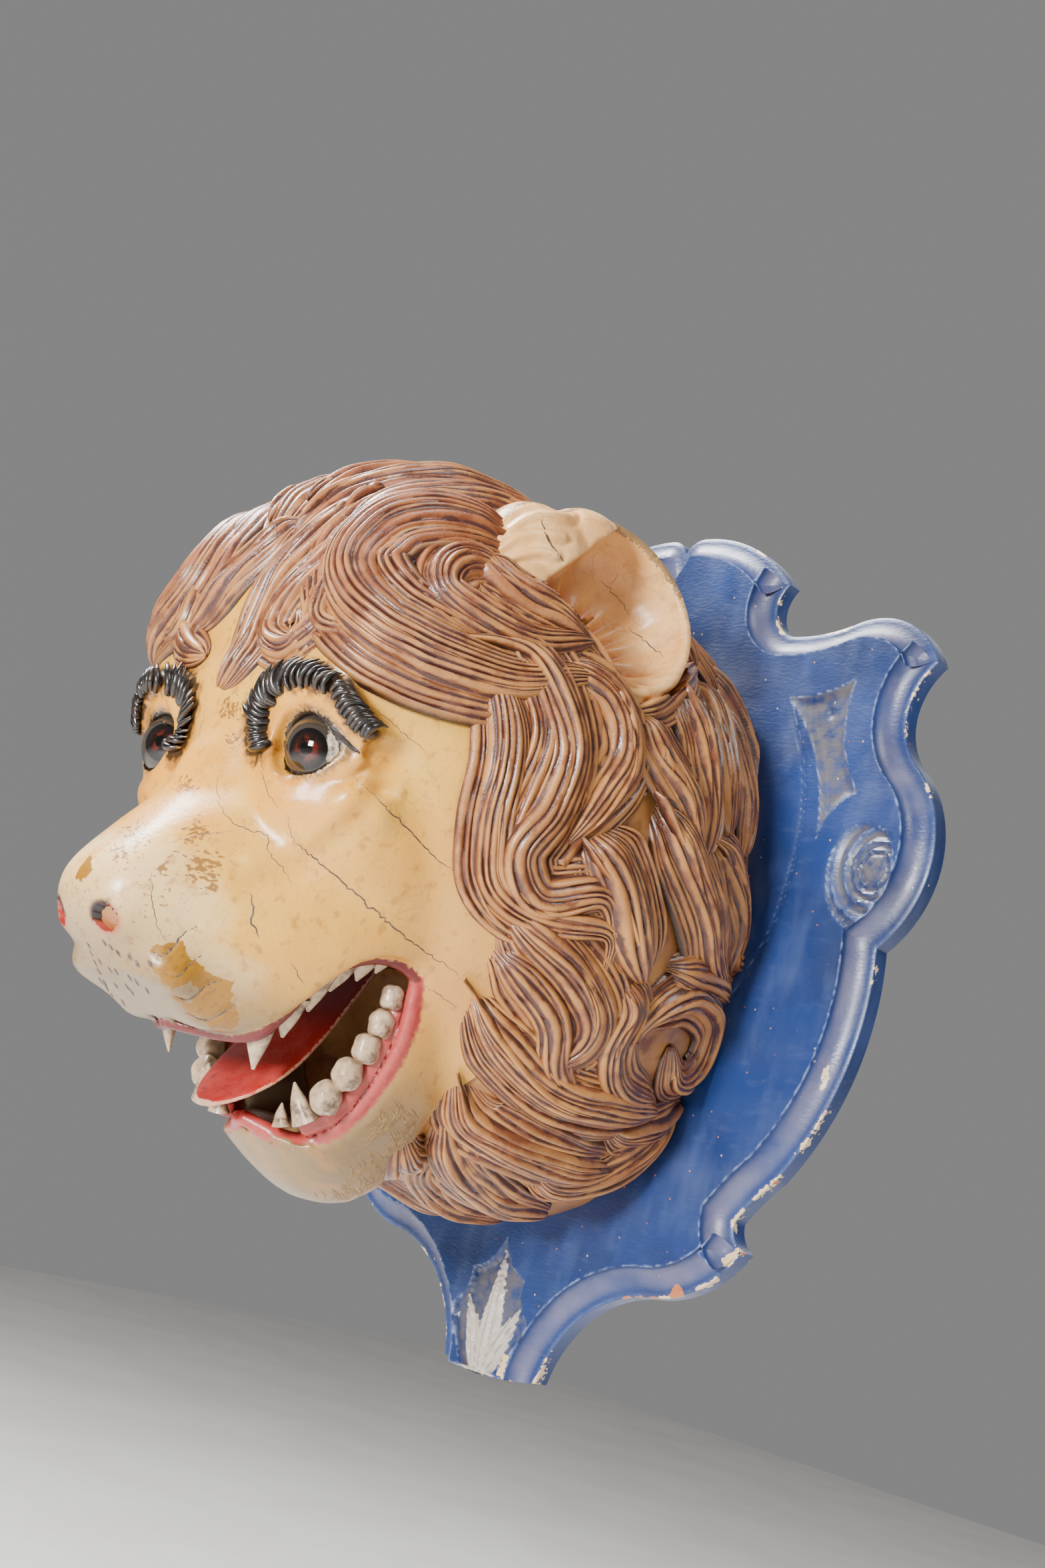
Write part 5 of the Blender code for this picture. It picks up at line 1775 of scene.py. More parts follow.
@dataclass
class Mane:
    """Locks of carved hair, each a crowned ribbon of rounded strands that runs over the clay."""

    camera: PhotoCamera
    ears: "Ears"
    middle: Point = (0, 150, 20)
    pitch: float = 4.9
    spacing: float = 3.6
    samples: int = 6
    rise: float = 0.72
    strand_rise: float = 0.46
    broad_width: float = 1.75
    broad_rise: float = 0.30
    stray_half: float = 4.6
    stray_rise: float = 4.0
    behind: float = 14.0
    most_faces: int = 60000
    strays: int = 2
    least_stray: int = 12
    crown_heights: Point = (90, 190)
    locks: Sequence[tuple[float, Curve]] = (
        (25, ((48, 43), (32, 43), (20, 35), (18, 25), (27, 18), (42, 20), (58, 28))),
        (18, ((44, 36), (32, 33), (31, 26), (44, 27), (56, 34))),
        (22, ((50, 72), (22, 58), (9, 43), (3, 31))),
        (20, ((40, 58), (26, 48), (17, 38), (15, 28))),
        (11, ((13, 25), (17, 21), (14, 16), (8, 14))),
        (22, ((30, 20), (45, 25), (55, 15), (55, 3), (52, -6), (58, -13), (70, -9), (77, -18))),
        (14, ((36, 30), (50, 16), (49, 1), (48, -8), (55, -16))),
        (17, ((46, 27), (61, 27), (68, 18), (65, 8), (60, -2))),
        (18, ((34, 26), (45, 13), (47, -3), (50, -12), (60, -16), (74, -15), (77, -23))),
        (18, ((68, 30), (76, 22), (86, 16), (94, 8))),
        (17, ((82, 44), (91, 32), (95, 20), (96, 6))),
        (15, ((98, 52), (106, 42), (106, 28), (106, 14))),
        (13, ((112, 50), (118, 38), (119, 24), (116, 12))),
        (22, ((62, 4), (73, -6), (79, -14), (87, -22))),
        (20, ((76, 16), (90, 5), (101, -4), (108, -12), (118, -16))),
        (15, ((98, 14), (112, 6), (119, -3), (122, -12))),
        (11, ((122, 2), (128, -6), (123, -10), (118, -5))),
        (20, ((48, -14), (57, -18), (69, -24), (79, -31), (80, -38), (73, -43))),
        (18, ((49, -22), (59, -27), (70, -34), (76, -42), (87, -47))),
        (20, ((47, -31), (60, -40), (76, -46), (96, -46), (117, -42))),
        (16, ((78, -20), (87, -27), (87, -35), (96, -42), (112, -41))),
        (14, ((98, -38), (95, -28), (104, -21), (118, -22), (124, -30), (116, -36), (107, -31))),
        (15, ((92, -18), (104, -17), (116, -16), (125, -17))),
        (20, ((52, -50), (62, -60), (80, -61), (100, -60), (122, -54))),
        (18, ((50, -58), (64, -70), (110, -75), (144, -66))),
        (16, ((44, -60), (46, -74), (150, -84), (170, -70))),
        (14, ((104, -50), (118, -46), (130, -38))),
        (22, ((70, 80), (92, 64), (104, 52))),
        (20, ((20, 82), (120, 80), (136, 62), (140, 52))),
        (18, ((0, 84), (160, 82), (168, 66), (166, 58))),
    )
    centre_locks: Sequence[tuple[float, Curve]] = ((22, ((0, 82), (2, 62), (-2, 48), (1, 36))),)
    seen_centre: Sequence[tuple[float, Curve]] = (
        (17, ((585, 742), (505, 790), (440, 850), (395, 925), (366, 985), (334, 1033))),
        (13, ((600, 770), (520, 815), (455, 872), (418, 925), (412, 960), (440, 972), (462, 940),
              (452, 915))),
        (15, ((480, 765), (410, 815), (350, 870), (312, 918), (290, 945))),
    )
    seen_side: Sequence[tuple[float, Curve]] = (
        (14, ((650, 780), (575, 815), (520, 860), (492, 905), (488, 935), (520, 946), (560, 938))),
        (12, ((640, 800), (560, 850), (520, 895), (540, 930), (590, 950))),
        (15, ((690, 810), (735, 862), (785, 900), (830, 925), (875, 960))),
        (11, ((770, 850), (805, 885), (850, 915), (900, 965), (935, 1020))),
        (12, ((925, 1070), (965, 1064), (1005, 1040), (1035, 1000))),
    )
    back_locks: Sequence[tuple[float, Curve]] = (
        (24, ((4, 62), (12, 78), (160, 82), (172, 64))),
        (22, ((26, 60), (44, 76), (118, 76), (134, 58))),
        (18, ((58, 66), (84, 74), (108, 66), (120, 50))),
        (18, ((118, 62), (130, 52), (134, 36), (130, 20))),
        (18, ((98, -66), (116, -62), (126, -52), (128, -40))),
    )

    def ways(self, surface: BVHTree, line: Curve) -> list[np.ndarray]:
        """Directions from the head's middle along a line of degrees, or of pixels if over 200."""
        found = []
        for first, second in line:
            if max(abs(first), abs(second)) <= 200:
                found.append(bearing(first, second))
                continue
            hit = surface.ray_cast(*self.camera.ray((first, second)))[0]
            if hit is not None:
                found.append(np.array((hit - place(self.middle)).normalized()))
        return found

    def walk(self, surface: BVHTree, line: Curve) -> tuple[np.ndarray, np.ndarray]:
        """Points, in metres, and outward directions over the clay along a line."""
        middle = place(self.middle)
        points, outward = [], []
        for way in smooth_line(self.ways(surface, line), 22):
            way = Vector(way).normalized()
            hit, normal, _, _ = surface.ray_cast(middle + way, -way)
            if hit is not None:
                points.append(hit)
                outward.append(normal)
        run = run_along(np.array(points))
        count = max(8, round(run[-1] / (self.spacing * MM)))
        path, top = (relaxed(spaced(np.array(rows), run, count), 4) for rows in (points, outward))
        return path, unit(top)

    def ribbon(self, line: np.ndarray, top: np.ndarray, half: float, rise: float,
               dice: np.random.Generator) -> Ribbon:
        """One ribbon of strands.

        Args:
            line: Points of its middle, in metres.
            top: The way it faces at each.
            half: Half its width in millimetres.
            rise: Height of its crown in millimetres.
            dice: Source of chance.

        Returns:
            The ribbon.
        """
        across = unit(np.cross(headings(line), top))
        strands = max(2, round(2 * half / self.pitch))
        u = np.linspace(-1, 1, strands * self.samples + 1)[None, :]
        share = np.linspace(0, 1, len(line))[:, None]
        width = half * (0.2 + 0.8 * ramp(share, 0.0, 0.3)) * rounded_end(share, 0.6, 0.4, 0.12)
        bounds = self.strand_bounds(strands, share, dice)
        q = (u * 0.5 + 0.5) * strands
        number = (q[..., None] >= bounds[:, None, 1:strands]).sum(2)
        row = np.arange(len(line))[:, None]
        low, high = bounds[row, number], bounds[row, number + 1]
        profile = np.sin(np.pi * np.clip((q - low) / np.maximum(high - low, 1e-6), 0, 1)) ** 0.8
        depth_of = dice.uniform(0.5, 1.3, strands)[number] * np.clip(high - low, 0.1, 1.5)
        swell = dice.uniform(-0.9, 0.9, strands)[number]
        phase = dice.uniform(0, 6.3, strands)[number]
        crown = 1.35 * (1 - np.abs(u) ** 2.2) ** 0.6 - 0.35
        height = rise * (0.35 + 0.65 * width / half)
        strand_width = np.minimum(self.pitch, 2 * width / strands)
        lift = height * crown + self.strand_rise * strand_width * depth_of * profile
        lift += swell * np.sin(3.1 * share * np.pi + phase) * width / half
        lift -= (rise * 1.1 + 3.0) * (1 - ramp(share, 0.0, 0.2))
        side = np.concatenate((u * width, np.array((0.5, -0.5)) * width), axis=1)[..., None]
        lift = np.concatenate((lift, np.repeat(-0.8 * height, 2, axis=1)), axis=1)[..., None]
        ring = line[:, None, :] + MM * (across[:, None, :] * side + top[:, None, :] * lift)
        # Painted shade along the ribbon's edges, where it sinks against the clay and other locks.
        sunk = 0.7 * ramp(np.abs(u), 0.84, 1.0) * ramp(share, 0.1, 0.35)
        ridge = profile * (0.8 + 0.2 * depth_of)
        tint = dice.uniform(0, 1, strands)[number]
        return Ribbon(ring.reshape(-1, 3), self.ribbon_faces(len(line), ring.shape[1]), *(
            np.pad(values, ((0, 0), (0, 2)), constant_values=under).ravel()
            for values, under in ((ridge, 0.9), (tint, 0.0), (sunk, 0.3))))

    def strand_bounds(self, strands: int, share: np.ndarray,
                      dice: np.random.Generator) -> np.ndarray:
        """Where each strand starts across a ribbon, in strands, at each share of its length."""
        sizes = dice.uniform(0.45, 1.6, strands)
        starts = np.concatenate(([0.0], np.cumsum(sizes))) * strands / sizes.sum()
        waves = dice.uniform(0, 1, (3, strands + 1))
        swing = np.sin(2 * np.pi * (share * (0.5 + 1.3 * waves[0]) + waves[1]))
        held = np.sin(np.pi * np.arange(strands + 1) / strands) ** 0.3
        bounds = starts + (0.15 + 0.45 * waves[2]) * swing * held
        return np.minimum(np.maximum.accumulate(bounds, axis=1), strands)

    def ribbon_faces(self, rows: int, count: int) -> list[list[int]]:
        """Faces of a closed skin over rows of corners."""
        base = np.arange(rows - 1)[:, None] * count
        i = np.arange(count)[None, :]
        j = (i + 1) % count
        quads = np.stack((base + j, base + i, base + count + i, base + count + j), axis=-1)
        last = list(range((rows - 1) * count, rows * count))
        return [list(range(count)), *quads.reshape(-1, 4).tolist(), last[::-1]]

    def sheets(self, surface: BVHTree, half: float, places: Curve,
               dice: np.random.Generator) -> list[Ribbon]:
        """Ribbons of one lock: a low broad one, the lock, and thin strays over it."""
        line, top = self.walk(surface, places)
        sheets = [self.ribbon(line, top, half * self.broad_width, half * self.broad_rise, dice),
                  self.ribbon(line, top, half * 1.05, half * self.rise, dice)]
        across = np.cross(headings(line), top)
        share = np.linspace(0, 1, len(line))[:, None]
        for _ in range(self.strays):
            start, end = dice.uniform(-0.75, 0.75, 2)
            shift = (start + (end - start) * share) * half * np.minimum(1, 0.55 + 1.7 * share)
            shift = shift * np.where(share > 0.6, 1 - ((share - 0.6) / 0.4) ** 2 * 0.8, 1)
            lift = half * self.rise * (1 - np.abs(shift / half) ** 2.2) * 0.72
            path = line + MM * (across * shift + top * lift)
            first, last = sorted(dice.integers(0, len(line), 2))
            if last - first > self.least_stray:
                sheets.append(self.ribbon(path[first:last], top[first:last], self.stray_half,
                                          self.stray_rise, dice))
        return sheets

    def group(self, name: str, sheets: Sequence[Ribbon], paint: bpy.types.Material) -> Solid:
        """Join ribbons in one piece and paint it.

        Args:
            name: The piece's name.
            sheets: The ribbons.
            paint: Its finish.

        Returns:
            The piece.
        """
        faces, base = [], 0
        for sheet in sheets:
            faces += [[index + base for index in face] for face in sheet.faces]
            base += len(sheet.corners)
        places = self.ears.clear(np.concatenate([sheet.corners for sheet in sheets]))
        places[:, 1] = np.minimum(places[:, 1], -self.behind * MM)
        piece = from_faces(name, places, faces)
        _, depth, height = drawn(piece).T
        keep(piece, crown=ramp(height - 0.25 * (430 - depth), *self.crown_heights), **{
            kept: np.concatenate([getattr(sheet, kept) for sheet in sheets])
            for kept in ("ridge", "tint", "sunk")})
        soft_shading(piece, 80)
        return dress(piece, paint, Slot.CREAM)

    def build(self, skull: Solid) -> list[Solid]:
        """Lay every lock over the clay.

        Args:
            skull: The head's clay.

        Returns:
            The mane's pieces.
        """
        surface = surface_of(skull)
        paint = ManePaint().build()
        dice = np.random.default_rng(7)
        batches: list[list[Ribbon]] = [[]]
        for half, places in (*self.locks, *self.seen_side, *self.back_locks):
            if sum(len(sheet.faces) for sheet in batches[-1]) > self.most_faces:
                batches.append([])
            batches[-1] += self.sheets(surface, half, places, dice)
        middle = [sheet for half, places in (*self.centre_locks, *self.seen_centre)
                  for sheet in self.sheets(surface, half, places, dice)]
        done = [self.group("forelock", middle, paint)]
        for number, sheets in enumerate(batches, 1):
            done.append(self.group(f"left_mane_{number}", sheets, paint))
            done.append(self.group(f"right_mane_{number}", [s.flipped() for s in sheets], paint))
        return done + [self.ground(skull, paint)]

    def ground(self, skull: Solid, paint: bpy.types.Material) -> Solid:
        """The clay under the locks, set back under them and lightly painted with shade where it
        shows between them.
        """
        base = duplicate(skull)
        base.name = "mane_ground"
        corners = drawn(base)
        x, depth, height = half_head(corners).T
        front = ramp(depth, 215, 250) * ramp(-x, -140, -128)
        beside = hump(x - 45, 27) * hump(height - 28, 55)
        sunk = raised(corners, normals(base) * DEPTH_TURNED, -1.5 - 4.0 * front)
        sunk = raised(sunk, np.array((0, -1, 0)), 18 * beside * front)
        redraw(base, self.ears.clear(sunk * TO_METRES) * TO_DRAWN)
        # A little painted shade over the clay that shows between the locks.
        keep(base, ridge=0.95, tint=0.5, sunk=0.25, crown=ramp(height, *self.crown_heights))
        soft_shading(base, 60)
        return dress(base, paint, Slot.CREAM)


@dataclass
class Ears:
    """Round open ears, with folds on the front wall and ridges that fan out of the root."""

    camera: PhotoCamera
    centre: Point = (155, 234, 202)
    facing: Point = (0.91, 0.20, 0.33)
    radius: float = 72.0
    depth: float = 88.0
    wall: float = 6.0
    front: Point = (146, 302, 190)
    foot: Point = (184, 217, 136)
    fold: Point = (133, 230, 265)
    lobes: Sequence[tuple[Point, Point]] = (
        ((112, 282, 212), (42, 56, 48)), ((117, 244, 229), (36, 50, 44)))
    voxel: float = 1.7
    passes: int = 7
    spread: float = 1.06
    sunk: float = 0.30
    cup: float = 0.66
    ridges: int = 13
    ridge_height: float = 9.0
    ridge_reach: Point = (44, 36)
    fold_roll: Point = (1.9, 6.0)
    fold_groove: Point = (-1.4, 5.0)
    fold_gap: float = 11.0
    wall_side: Point = (0.55, -0.72, 0.4)
    folds: Sequence[Curve] = (
        ((764, 796), (790, 778), (818, 772), (860, 776)),
        ((752, 822), (776, 806), (806, 800), (846, 806)),
        ((758, 842), (782, 832), (812, 828), (836, 834)),
    )
    cracks: Sequence[tuple[float, Curve]] = (
        (0.9, ((813, 778), (818, 801), (832, 823), (851, 853), (858, 872))),
        (0.5, ((946, 944), (968, 964), (996, 986))),
        (0.3, ((900, 870), (930, 900), (946, 925))),
    )

    def axes(self) -> tuple[Vector, Vector, Vector]:
        """The ear's own directions: across its rim, up its rim and the way it faces."""
        facing = Vector((self.facing[0], -self.facing[1], self.facing[2])).normalized()
        across = facing.cross(Vector((0, 0, 1))).normalized()
        return across, across.cross(facing), facing

    def clear(self, points: np.ndarray) -> np.ndarray:
        """Push points, in metres, that lie in the ears down behind their cups, and return all."""
        across, up, facing = (np.array(v) for v in self.axes())
        rim, front, foot = (np.array(place(v)) for v in (self.centre, self.front, self.foot))
        side = np.where(points[:, :1] < 0, -1.0, 1.0) * (1, 0, 0) + (0, 1, 1)
        away = (points * side - rim) / MM
        radial = np.hypot(away @ across, away @ up)
        rise = away @ facing
        shell = ((radial / (self.radius * self.spread)) ** 2
                 + ((rise + self.depth * self.sunk) / self.depth) ** 2)
        hollow = self.depth * self.cup * np.sqrt(
            np.maximum(0, 1 - (radial / (self.radius - self.wall)) ** 2))
        target = -7 - np.maximum(hollow, 45 * ramp(radial, self.radius - 13, self.radius + 8))
        inward = np.cross(facing, foot - front)
        inward *= np.sign(inward @ (rim - front)) / np.linalg.norm(inward)
        within = (points * side - front) @ inward > -0.004
        held = (shell < 1.16) & (rise < 16) & (rise > target) & within
        drop = np.where(held, rise - target, 0.0)
        return raised(points * side, facing, -MM * drop) * side

    def dome(self, name: str, radius: float, depth: float, sink: float) -> Solid:
        """Half-flattened ball on the ear's axis, its middle sunk below the rim."""
        across, up, facing = self.axes()
        turn = Matrix((across, up, facing)).transposed().to_4x4()
        bpy.ops.mesh.primitive_uv_sphere_add(segments=72, ring_count=36, radius=MM)
        obj = bpy.context.active_object
        obj.name = name
        obj.data.transform(Matrix.Translation(place(self.centre) - facing * sink * MM) @ turn
                           @ Matrix.Diagonal((radius, radius, depth, 1)))
        return obj

    def block(self, corner: Vector, first: Vector, second: Vector, way: Vector,
              reach: float) -> Solid:
        """Block with one face through a corner that runs one way."""
        return loft("block", [[corner + first * x * reach + second * y * reach + way * far
                               for x, y in ((-1, -1), (1, -1), (1, 1), (-1, 1))]
                              for far in (0, reach)])

    def build(self) -> list[Solid]:
        """Carve and paint both ears."""
        across, up, facing = self.axes()
        rim = place(self.centre)
        reach = self.radius * 2 * MM
        ear = self.dome("ear", self.radius * self.spread, self.depth, self.depth * self.sunk)
        cut(ear, [self.block(rim, across, up, facing, reach)])
        cut(ear, [ball("lobe", *lobe) for lobe in self.lobes], "UNION")
        cup = self.dome("cup", self.radius - self.wall, self.depth * self.cup, 0)
        front = place(self.front)
        for end in (self.foot, self.fold):
            line = (place(end) - front).normalized()
            away = facing.cross(line).normalized()
            away = -away if away.dot(rim - front) > 0 else away
            cut(cup, [self.block(front, line, facing, away, reach)])
        cut(ear, [cup])
        modify(ear, "REMESH", mode="VOXEL", voxel_size=self.voxel * MM)
        modify(ear, "SMOOTH", factor=0.5, iterations=self.passes)
        self.detail(ear)
        soft_shading(ear, 60)
        ear.name = "left_ear"
        other = mirrored([ear])[0]
        other.name = "right_ear"
        brush = Brush(self.camera, surface_of(ear))
        dice = random.Random(3)
        cracks = [brush.stroke("ear_crack", line, width, 1.0, dice) for width, line in self.cracks]
        split = merged("ear_cracks", [crack for crack in cracks if crack])
        paint = EarPaint().build()
        filler = StrokePaint("dark_ear_cracks", "#4a3626", "#7d6247").build()
        return [dress(piece, finish, Slot.CREAM)
                for piece, finish in ((ear, paint), (other, paint), (split, filler))]

    def detail(self, ear: Solid) -> None:
        """Raise the folds and the ridges in the cup, and keep where each colour goes."""
        across, up, facing = (np.array(v) for v in self.axes())
        middle, foot, front = (np.array(v) * DEPTH_TURNED
                               for v in (self.centre, self.foot, self.front))
        corners = drawn(ear)
        away = corners * DEPTH_TURNED - middle
        flat = np.column_stack((away @ across, away @ up))
        below = -(away @ facing)
        outward = normals(ear)
        root = foot * 0.45 + front * 0.55 - middle
        from_root = flat - np.array((root @ across, root @ up))
        reach = np.hypot(*from_root.T)
        angle = np.arctan2(from_root[:, 1], from_root[:, 0])
        inside = ramp(outward @ facing, -0.1, 0.35) * ramp(below, 1.5, 6.0)
        fan = np.cos(angle * self.ridges + 0.8 * np.sin(angle * 5)) ** 2
        wall = (outward @ np.array(self.wall_side) > 0) & (below > -30)
        seen = self.camera.project(corners[wall] * TO_METRES)
        fold = np.full(len(corners), 99.0)
        fold[wall] = np.min(
            [distance_to_line(seen, smooth_line(line, 6)) for line in self.folds], axis=0)
        middle_reach, width = self.ridge_reach
        move = self.ridge_height * inside * fan * hump(reach - middle_reach, width)
        move += crest(fold, *self.fold_roll) + crest(fold - self.fold_gap, *self.fold_groove)
        redraw(ear, raised(corners, outward * DEPTH_TURNED, move))
        worn = hump(below, 3.0) * ramp(np.hypot(*flat.T), self.radius - 12, self.radius - 6)
        # cup: painted shade, deepest towards the bottom of the cup.
        keep(ear, cup=inside * ramp(below, 18, 52), root=hump(reach, 56) * ramp(below, -2, 8),
             rib=inside * (1 - fan) * hump(reach - 42, 34),
             rim=worn * ramp(corners[:, 2], 205, 250))


@dataclass
class Brows:
    """Arched brows of short carved tufts, in an arch over the eye and a tail apart from it."""

    camera: PhotoCamera
    surface: BVHTree
    rows: Sequence[tuple[int, float, Curve]] = (
        (25, 0.7, ((392, 1126), (386, 1094), (390, 1058), (406, 1032), (436, 1013), (470, 1012),
                   (500, 1026))),
        (13, 1.0, ((512, 1030), (522, 1050), (536, 1072), (550, 1088), (562, 1098))),
    )
    length: float = 26.0
    tail_share: float = 0.78
    radius: float = 2.9
    sides: int = 8

    def tufts(self, count: int, lean: float, seen: Curve, dice: random.Random) -> list[Solid]:
        """One row of tufts along a line seen in the photograph.

        Args:
            count: How many.
            lean: How far the tips lean along the row, as a share of their length.
            seen: The row's middle in the photograph.
            dice: Source of chance.

        Returns:
            The tufts, each with how far it is rubbed.
        """
        hits = [self.surface.ray_cast(*self.camera.ray(pixel)) for pixel in even_line(seen, 3.0)]
        path = relaxed(np.array([as_drawn(hit) for hit, *_ in hits]), 6)
        tops = relaxed(np.array([tuple(normal) for _, normal, *_ in hits]) * DEPTH_TURNED, 6)
        ahead = headings(path)
        done = []
        for i in range(count):
            k = int((i + 0.5) / count * (len(path) - 1))
            point, way = path[k], ahead[k]
            top = tops[k] / np.linalg.norm(tops[k])
            up = np.cross(top, way)
            up = up / np.linalg.norm(up) * (1 if up @ (point - np.array(EYE)) > 0 else -1)
            up = up + way * dice.uniform(-0.22, 0.22)
            size = self.length * dice.uniform(0.8, 1.15)
            size *= 0.68 + 0.35 * math.sin(math.pi * (i + 0.5) / count)
            size *= 1.0 if lean < 1 else self.tail_share
            tip = size * lean * dice.uniform(0.35, 0.6)
            line = smooth_line((
                point - up * size * 0.46 - top * 1.0,
                point - up * size * 0.16 + top * 3.4 - way * size * 0.10,
                point + up * size * 0.20 + top * 4.2 + way * tip * 0.15,
                point + up * size * 0.48 + top * 0.4 + way * tip,
            ), 5)
            share = np.linspace(0, 1, len(line))
            radii = self.radius * dice.uniform(0.75, 1.25) * np.maximum(
                0.10, np.sin(np.pi * (0.18 + 0.80 * share)) ** 0.85)
            tuft = rope("tuft", line, radii, self.sides, 1.25, np.tile(top, (len(line), 1)))
            end = ramp(np.repeat(share, self.sides), 0.72, 1.0)
            keep(tuft, rubbed=0.75 * end + 0.35 * dice.random() ** 2)
            done.append(tuft)
        return done

    def build(self) -> list[Solid]:
        """Carve and paint both brows."""
        dice = random.Random(5)
        brow = merged("left_brow", [tuft for row in self.rows for tuft in self.tufts(*row, dice)])
        modify(brow, "SUBSURF", levels=1, render_levels=1)
        soft_shading(brow, 80)
        other = mirrored([brow])[0]
        other.name = "right_brow"
        paint = BrowPaint().build()
        return [dress(brow, paint, Slot.CREAM), dress(other, paint, Slot.CREAM)]


@dataclass
class Eyes:
    """Glass eyes, each a dome over a painted iris that looks ahead and down."""

    camera: PhotoCamera
    radius: float = 25.8
    bulge: float = 0.012
    seen: Sequence[tuple[Side, Slot, Point]] = (
        (Side.LEFT, Slot.LEFT_EYE, (459, 1123)), (Side.RIGHT, Slot.RIGHT_EYE, (241, 1112)))

    def gaze(self, middle: Vector, pixel: Point) -> Vector:
        """The way an eye looks, from where its iris is seen."""
        start, way = self.camera.ray(pixel)
        reach = (middle - start).dot(way)
        nearest = start + way * reach
        rise = math.sqrt(max(0.0, (self.radius * MM) ** 2 - (nearest - middle).length ** 2))
        return (nearest - way * rise - middle).normalized()

    def build(self) -> list[Solid]:
        """Blow and paint both eyes."""
        done = []
        radius = self.radius * MM
        for side, slot, pixel in self.seen:
            middle = place((EYE[0] * side.value, *EYE[1:]))
            name = side.name.lower()
            bpy.ops.mesh.primitive_uv_sphere_add(segments=96, ring_count=48, radius=radius)
            eye = bpy.context.active_object
            eye.name = f"{name}_eye_dome"
            corners = drawn(eye)
            angle = np.degrees(np.arccos(np.clip(corners[:, 2] / self.radius, -1, 1)))
            redraw(eye, corners * (1.0 + self.bulge * hump(angle, 30))[:, None])
            turn = self.gaze(middle, pixel).to_track_quat("Z", "Y").to_matrix().to_4x4()
            eye.data.transform(Matrix.Translation(middle) @ turn)
            away = drawn(eye) * TO_METRES - np.array(middle)
            keep(eye, gaze=angle, side=away @ self.camera.axes()[0] / radius)
            soft_shading(eye, 80)
            paint = EyeGlass(f"painted_glass_{name}").build()
            done.append(dress(eye, paint, slot, f"{name}_eye"))
        return done


@dataclass
class Teeth:
    """Whittled teeth: pointed above and at the jaw's front, rounded lumps along its sides."""

    pointed: Sequence[tuple[Point, float, float, float]] = (
        ((54, 367, -158), 14, 30, 8), ((70, 360, -141), 13.2, 22, 14),
        ((80, 351, -121), 13, 21, 16), ((87, 339, -105), 13, 20, 18),
        ((92, 324, -95), 12, 18, 20), ((95, 310, -89), 10, 15, 22),
        ((56, 314, -206), 14, -21, 38), ((37, 315, -215), 9, -12, 20),
    )
    rounded: Sequence[tuple[Point, float]] = (
        ((71, 309, -193), 11), ((81, 304, -174), 10.6), ((88, 299, -154), 10.2),
        ((92, 295, -134.5), 9.8), ((95, 294, -115), 9),
    )

    peg_sides: int = 24
    peg_fullness: float = 0.16
    peg_curve: float = 0.28

    def peg(self) -> Solid:
        """Pointed tooth of unit radius and length, its tip down, with full and bent sides."""
        bpy.ops.mesh.primitive_cone_add(
            vertices=self.peg_sides, radius1=0.08, radius2=1.0, depth=1.35,
            location=(0, 0, -0.325), end_fill_type="NGON")
        peg = bpy.context.active_object
        bpy.ops.object.transform_apply(location=True)
        with editing(peg):
            bpy.ops.mesh.subdivide(number_cuts=5)
        for vert in peg.data.vertices:
            down = min(1.0, max(0.0, -vert.co.z))
            width = 1.0 + self.peg_fullness * math.sin(math.pi * down)
            vert.co.x *= width
            vert.co.y = vert.co.y * width + self.peg_curve * down ** 2
        return peg

    def placed(self, master: Solid, root: Point, radius: float, length: float, lean: float,
               dice: random.Random) -> Solid:
        """A copy of the pointed tooth at its root, set along the jaw and leant by degrees."""
        tooth = duplicate(master)
        along = math.radians(1.15 * root[0] - 32) * math.copysign(1, length)
        turn = Matrix.Rotation(along + dice.uniform(-0.15, 0.15), 4, "Z") @ Matrix.Rotation(
            math.radians(lean), 4, "X")
        spread = Matrix.Diagonal((radius, radius * 0.72, length, 1))
        tooth.data.transform(Matrix.Translation(place(root)) @ turn @ Matrix.Scale(MM, 4) @ spread)
        if length < 0:
            tooth.data.flip_normals()
        return tooth

    def build(self) -> list[Solid]:
        """Whittle, place and paint every tooth."""
        master = self.peg()
        dice = random.Random(9)
        upper, lower = [], []
        for root, radius, length, lean in self.pointed:
            tooth = self.placed(master, root, radius, length, lean, dice)
            height = np.abs(drawn(tooth)[:, 2] - root[2])
            keep(tooth, root=1 - ramp(height, 0.0, abs(length) * 0.55))
            (upper if length > 0 else lower).append(tooth)
        for root, radius in self.rounded:
            molar = ball("molar", root, (radius, radius * 0.95, radius * 0.98), 12, 28)
            corners = drawn(molar)
            away = (corners - np.array(root)) / radius
            lumps = 0.5 + 0.5 * (away ** 4).sum(1) ** -0.25
            lumps += 0.09 * np.sin(away[:, 0] * 5 + root[2]) * np.sin(away[:, 1] * 4.5 + 1)
            lumps += 0.05 * np.sin(away[:, 2] * 7 + root[1])
            redraw(molar, np.array(root) + away * (0.86, 0.92, 1.06) * radius * lumps[:, None])
            keep(molar, root=ramp(away[:, 0] - 0.6 * away[:, 2], 0.55, 1.3))
            lower.append(molar)
        bpy.data.objects.remove(master)
        paint = ToothPaint().build()
        done = []
        for name, row in (("upper_teeth", upper), ("lower_teeth", lower)):
            piece = merged(name, row + mirrored(row))
            soft_shading(piece, 50)
            done.append(dress(piece, paint, Slot.CREAM))
        return done


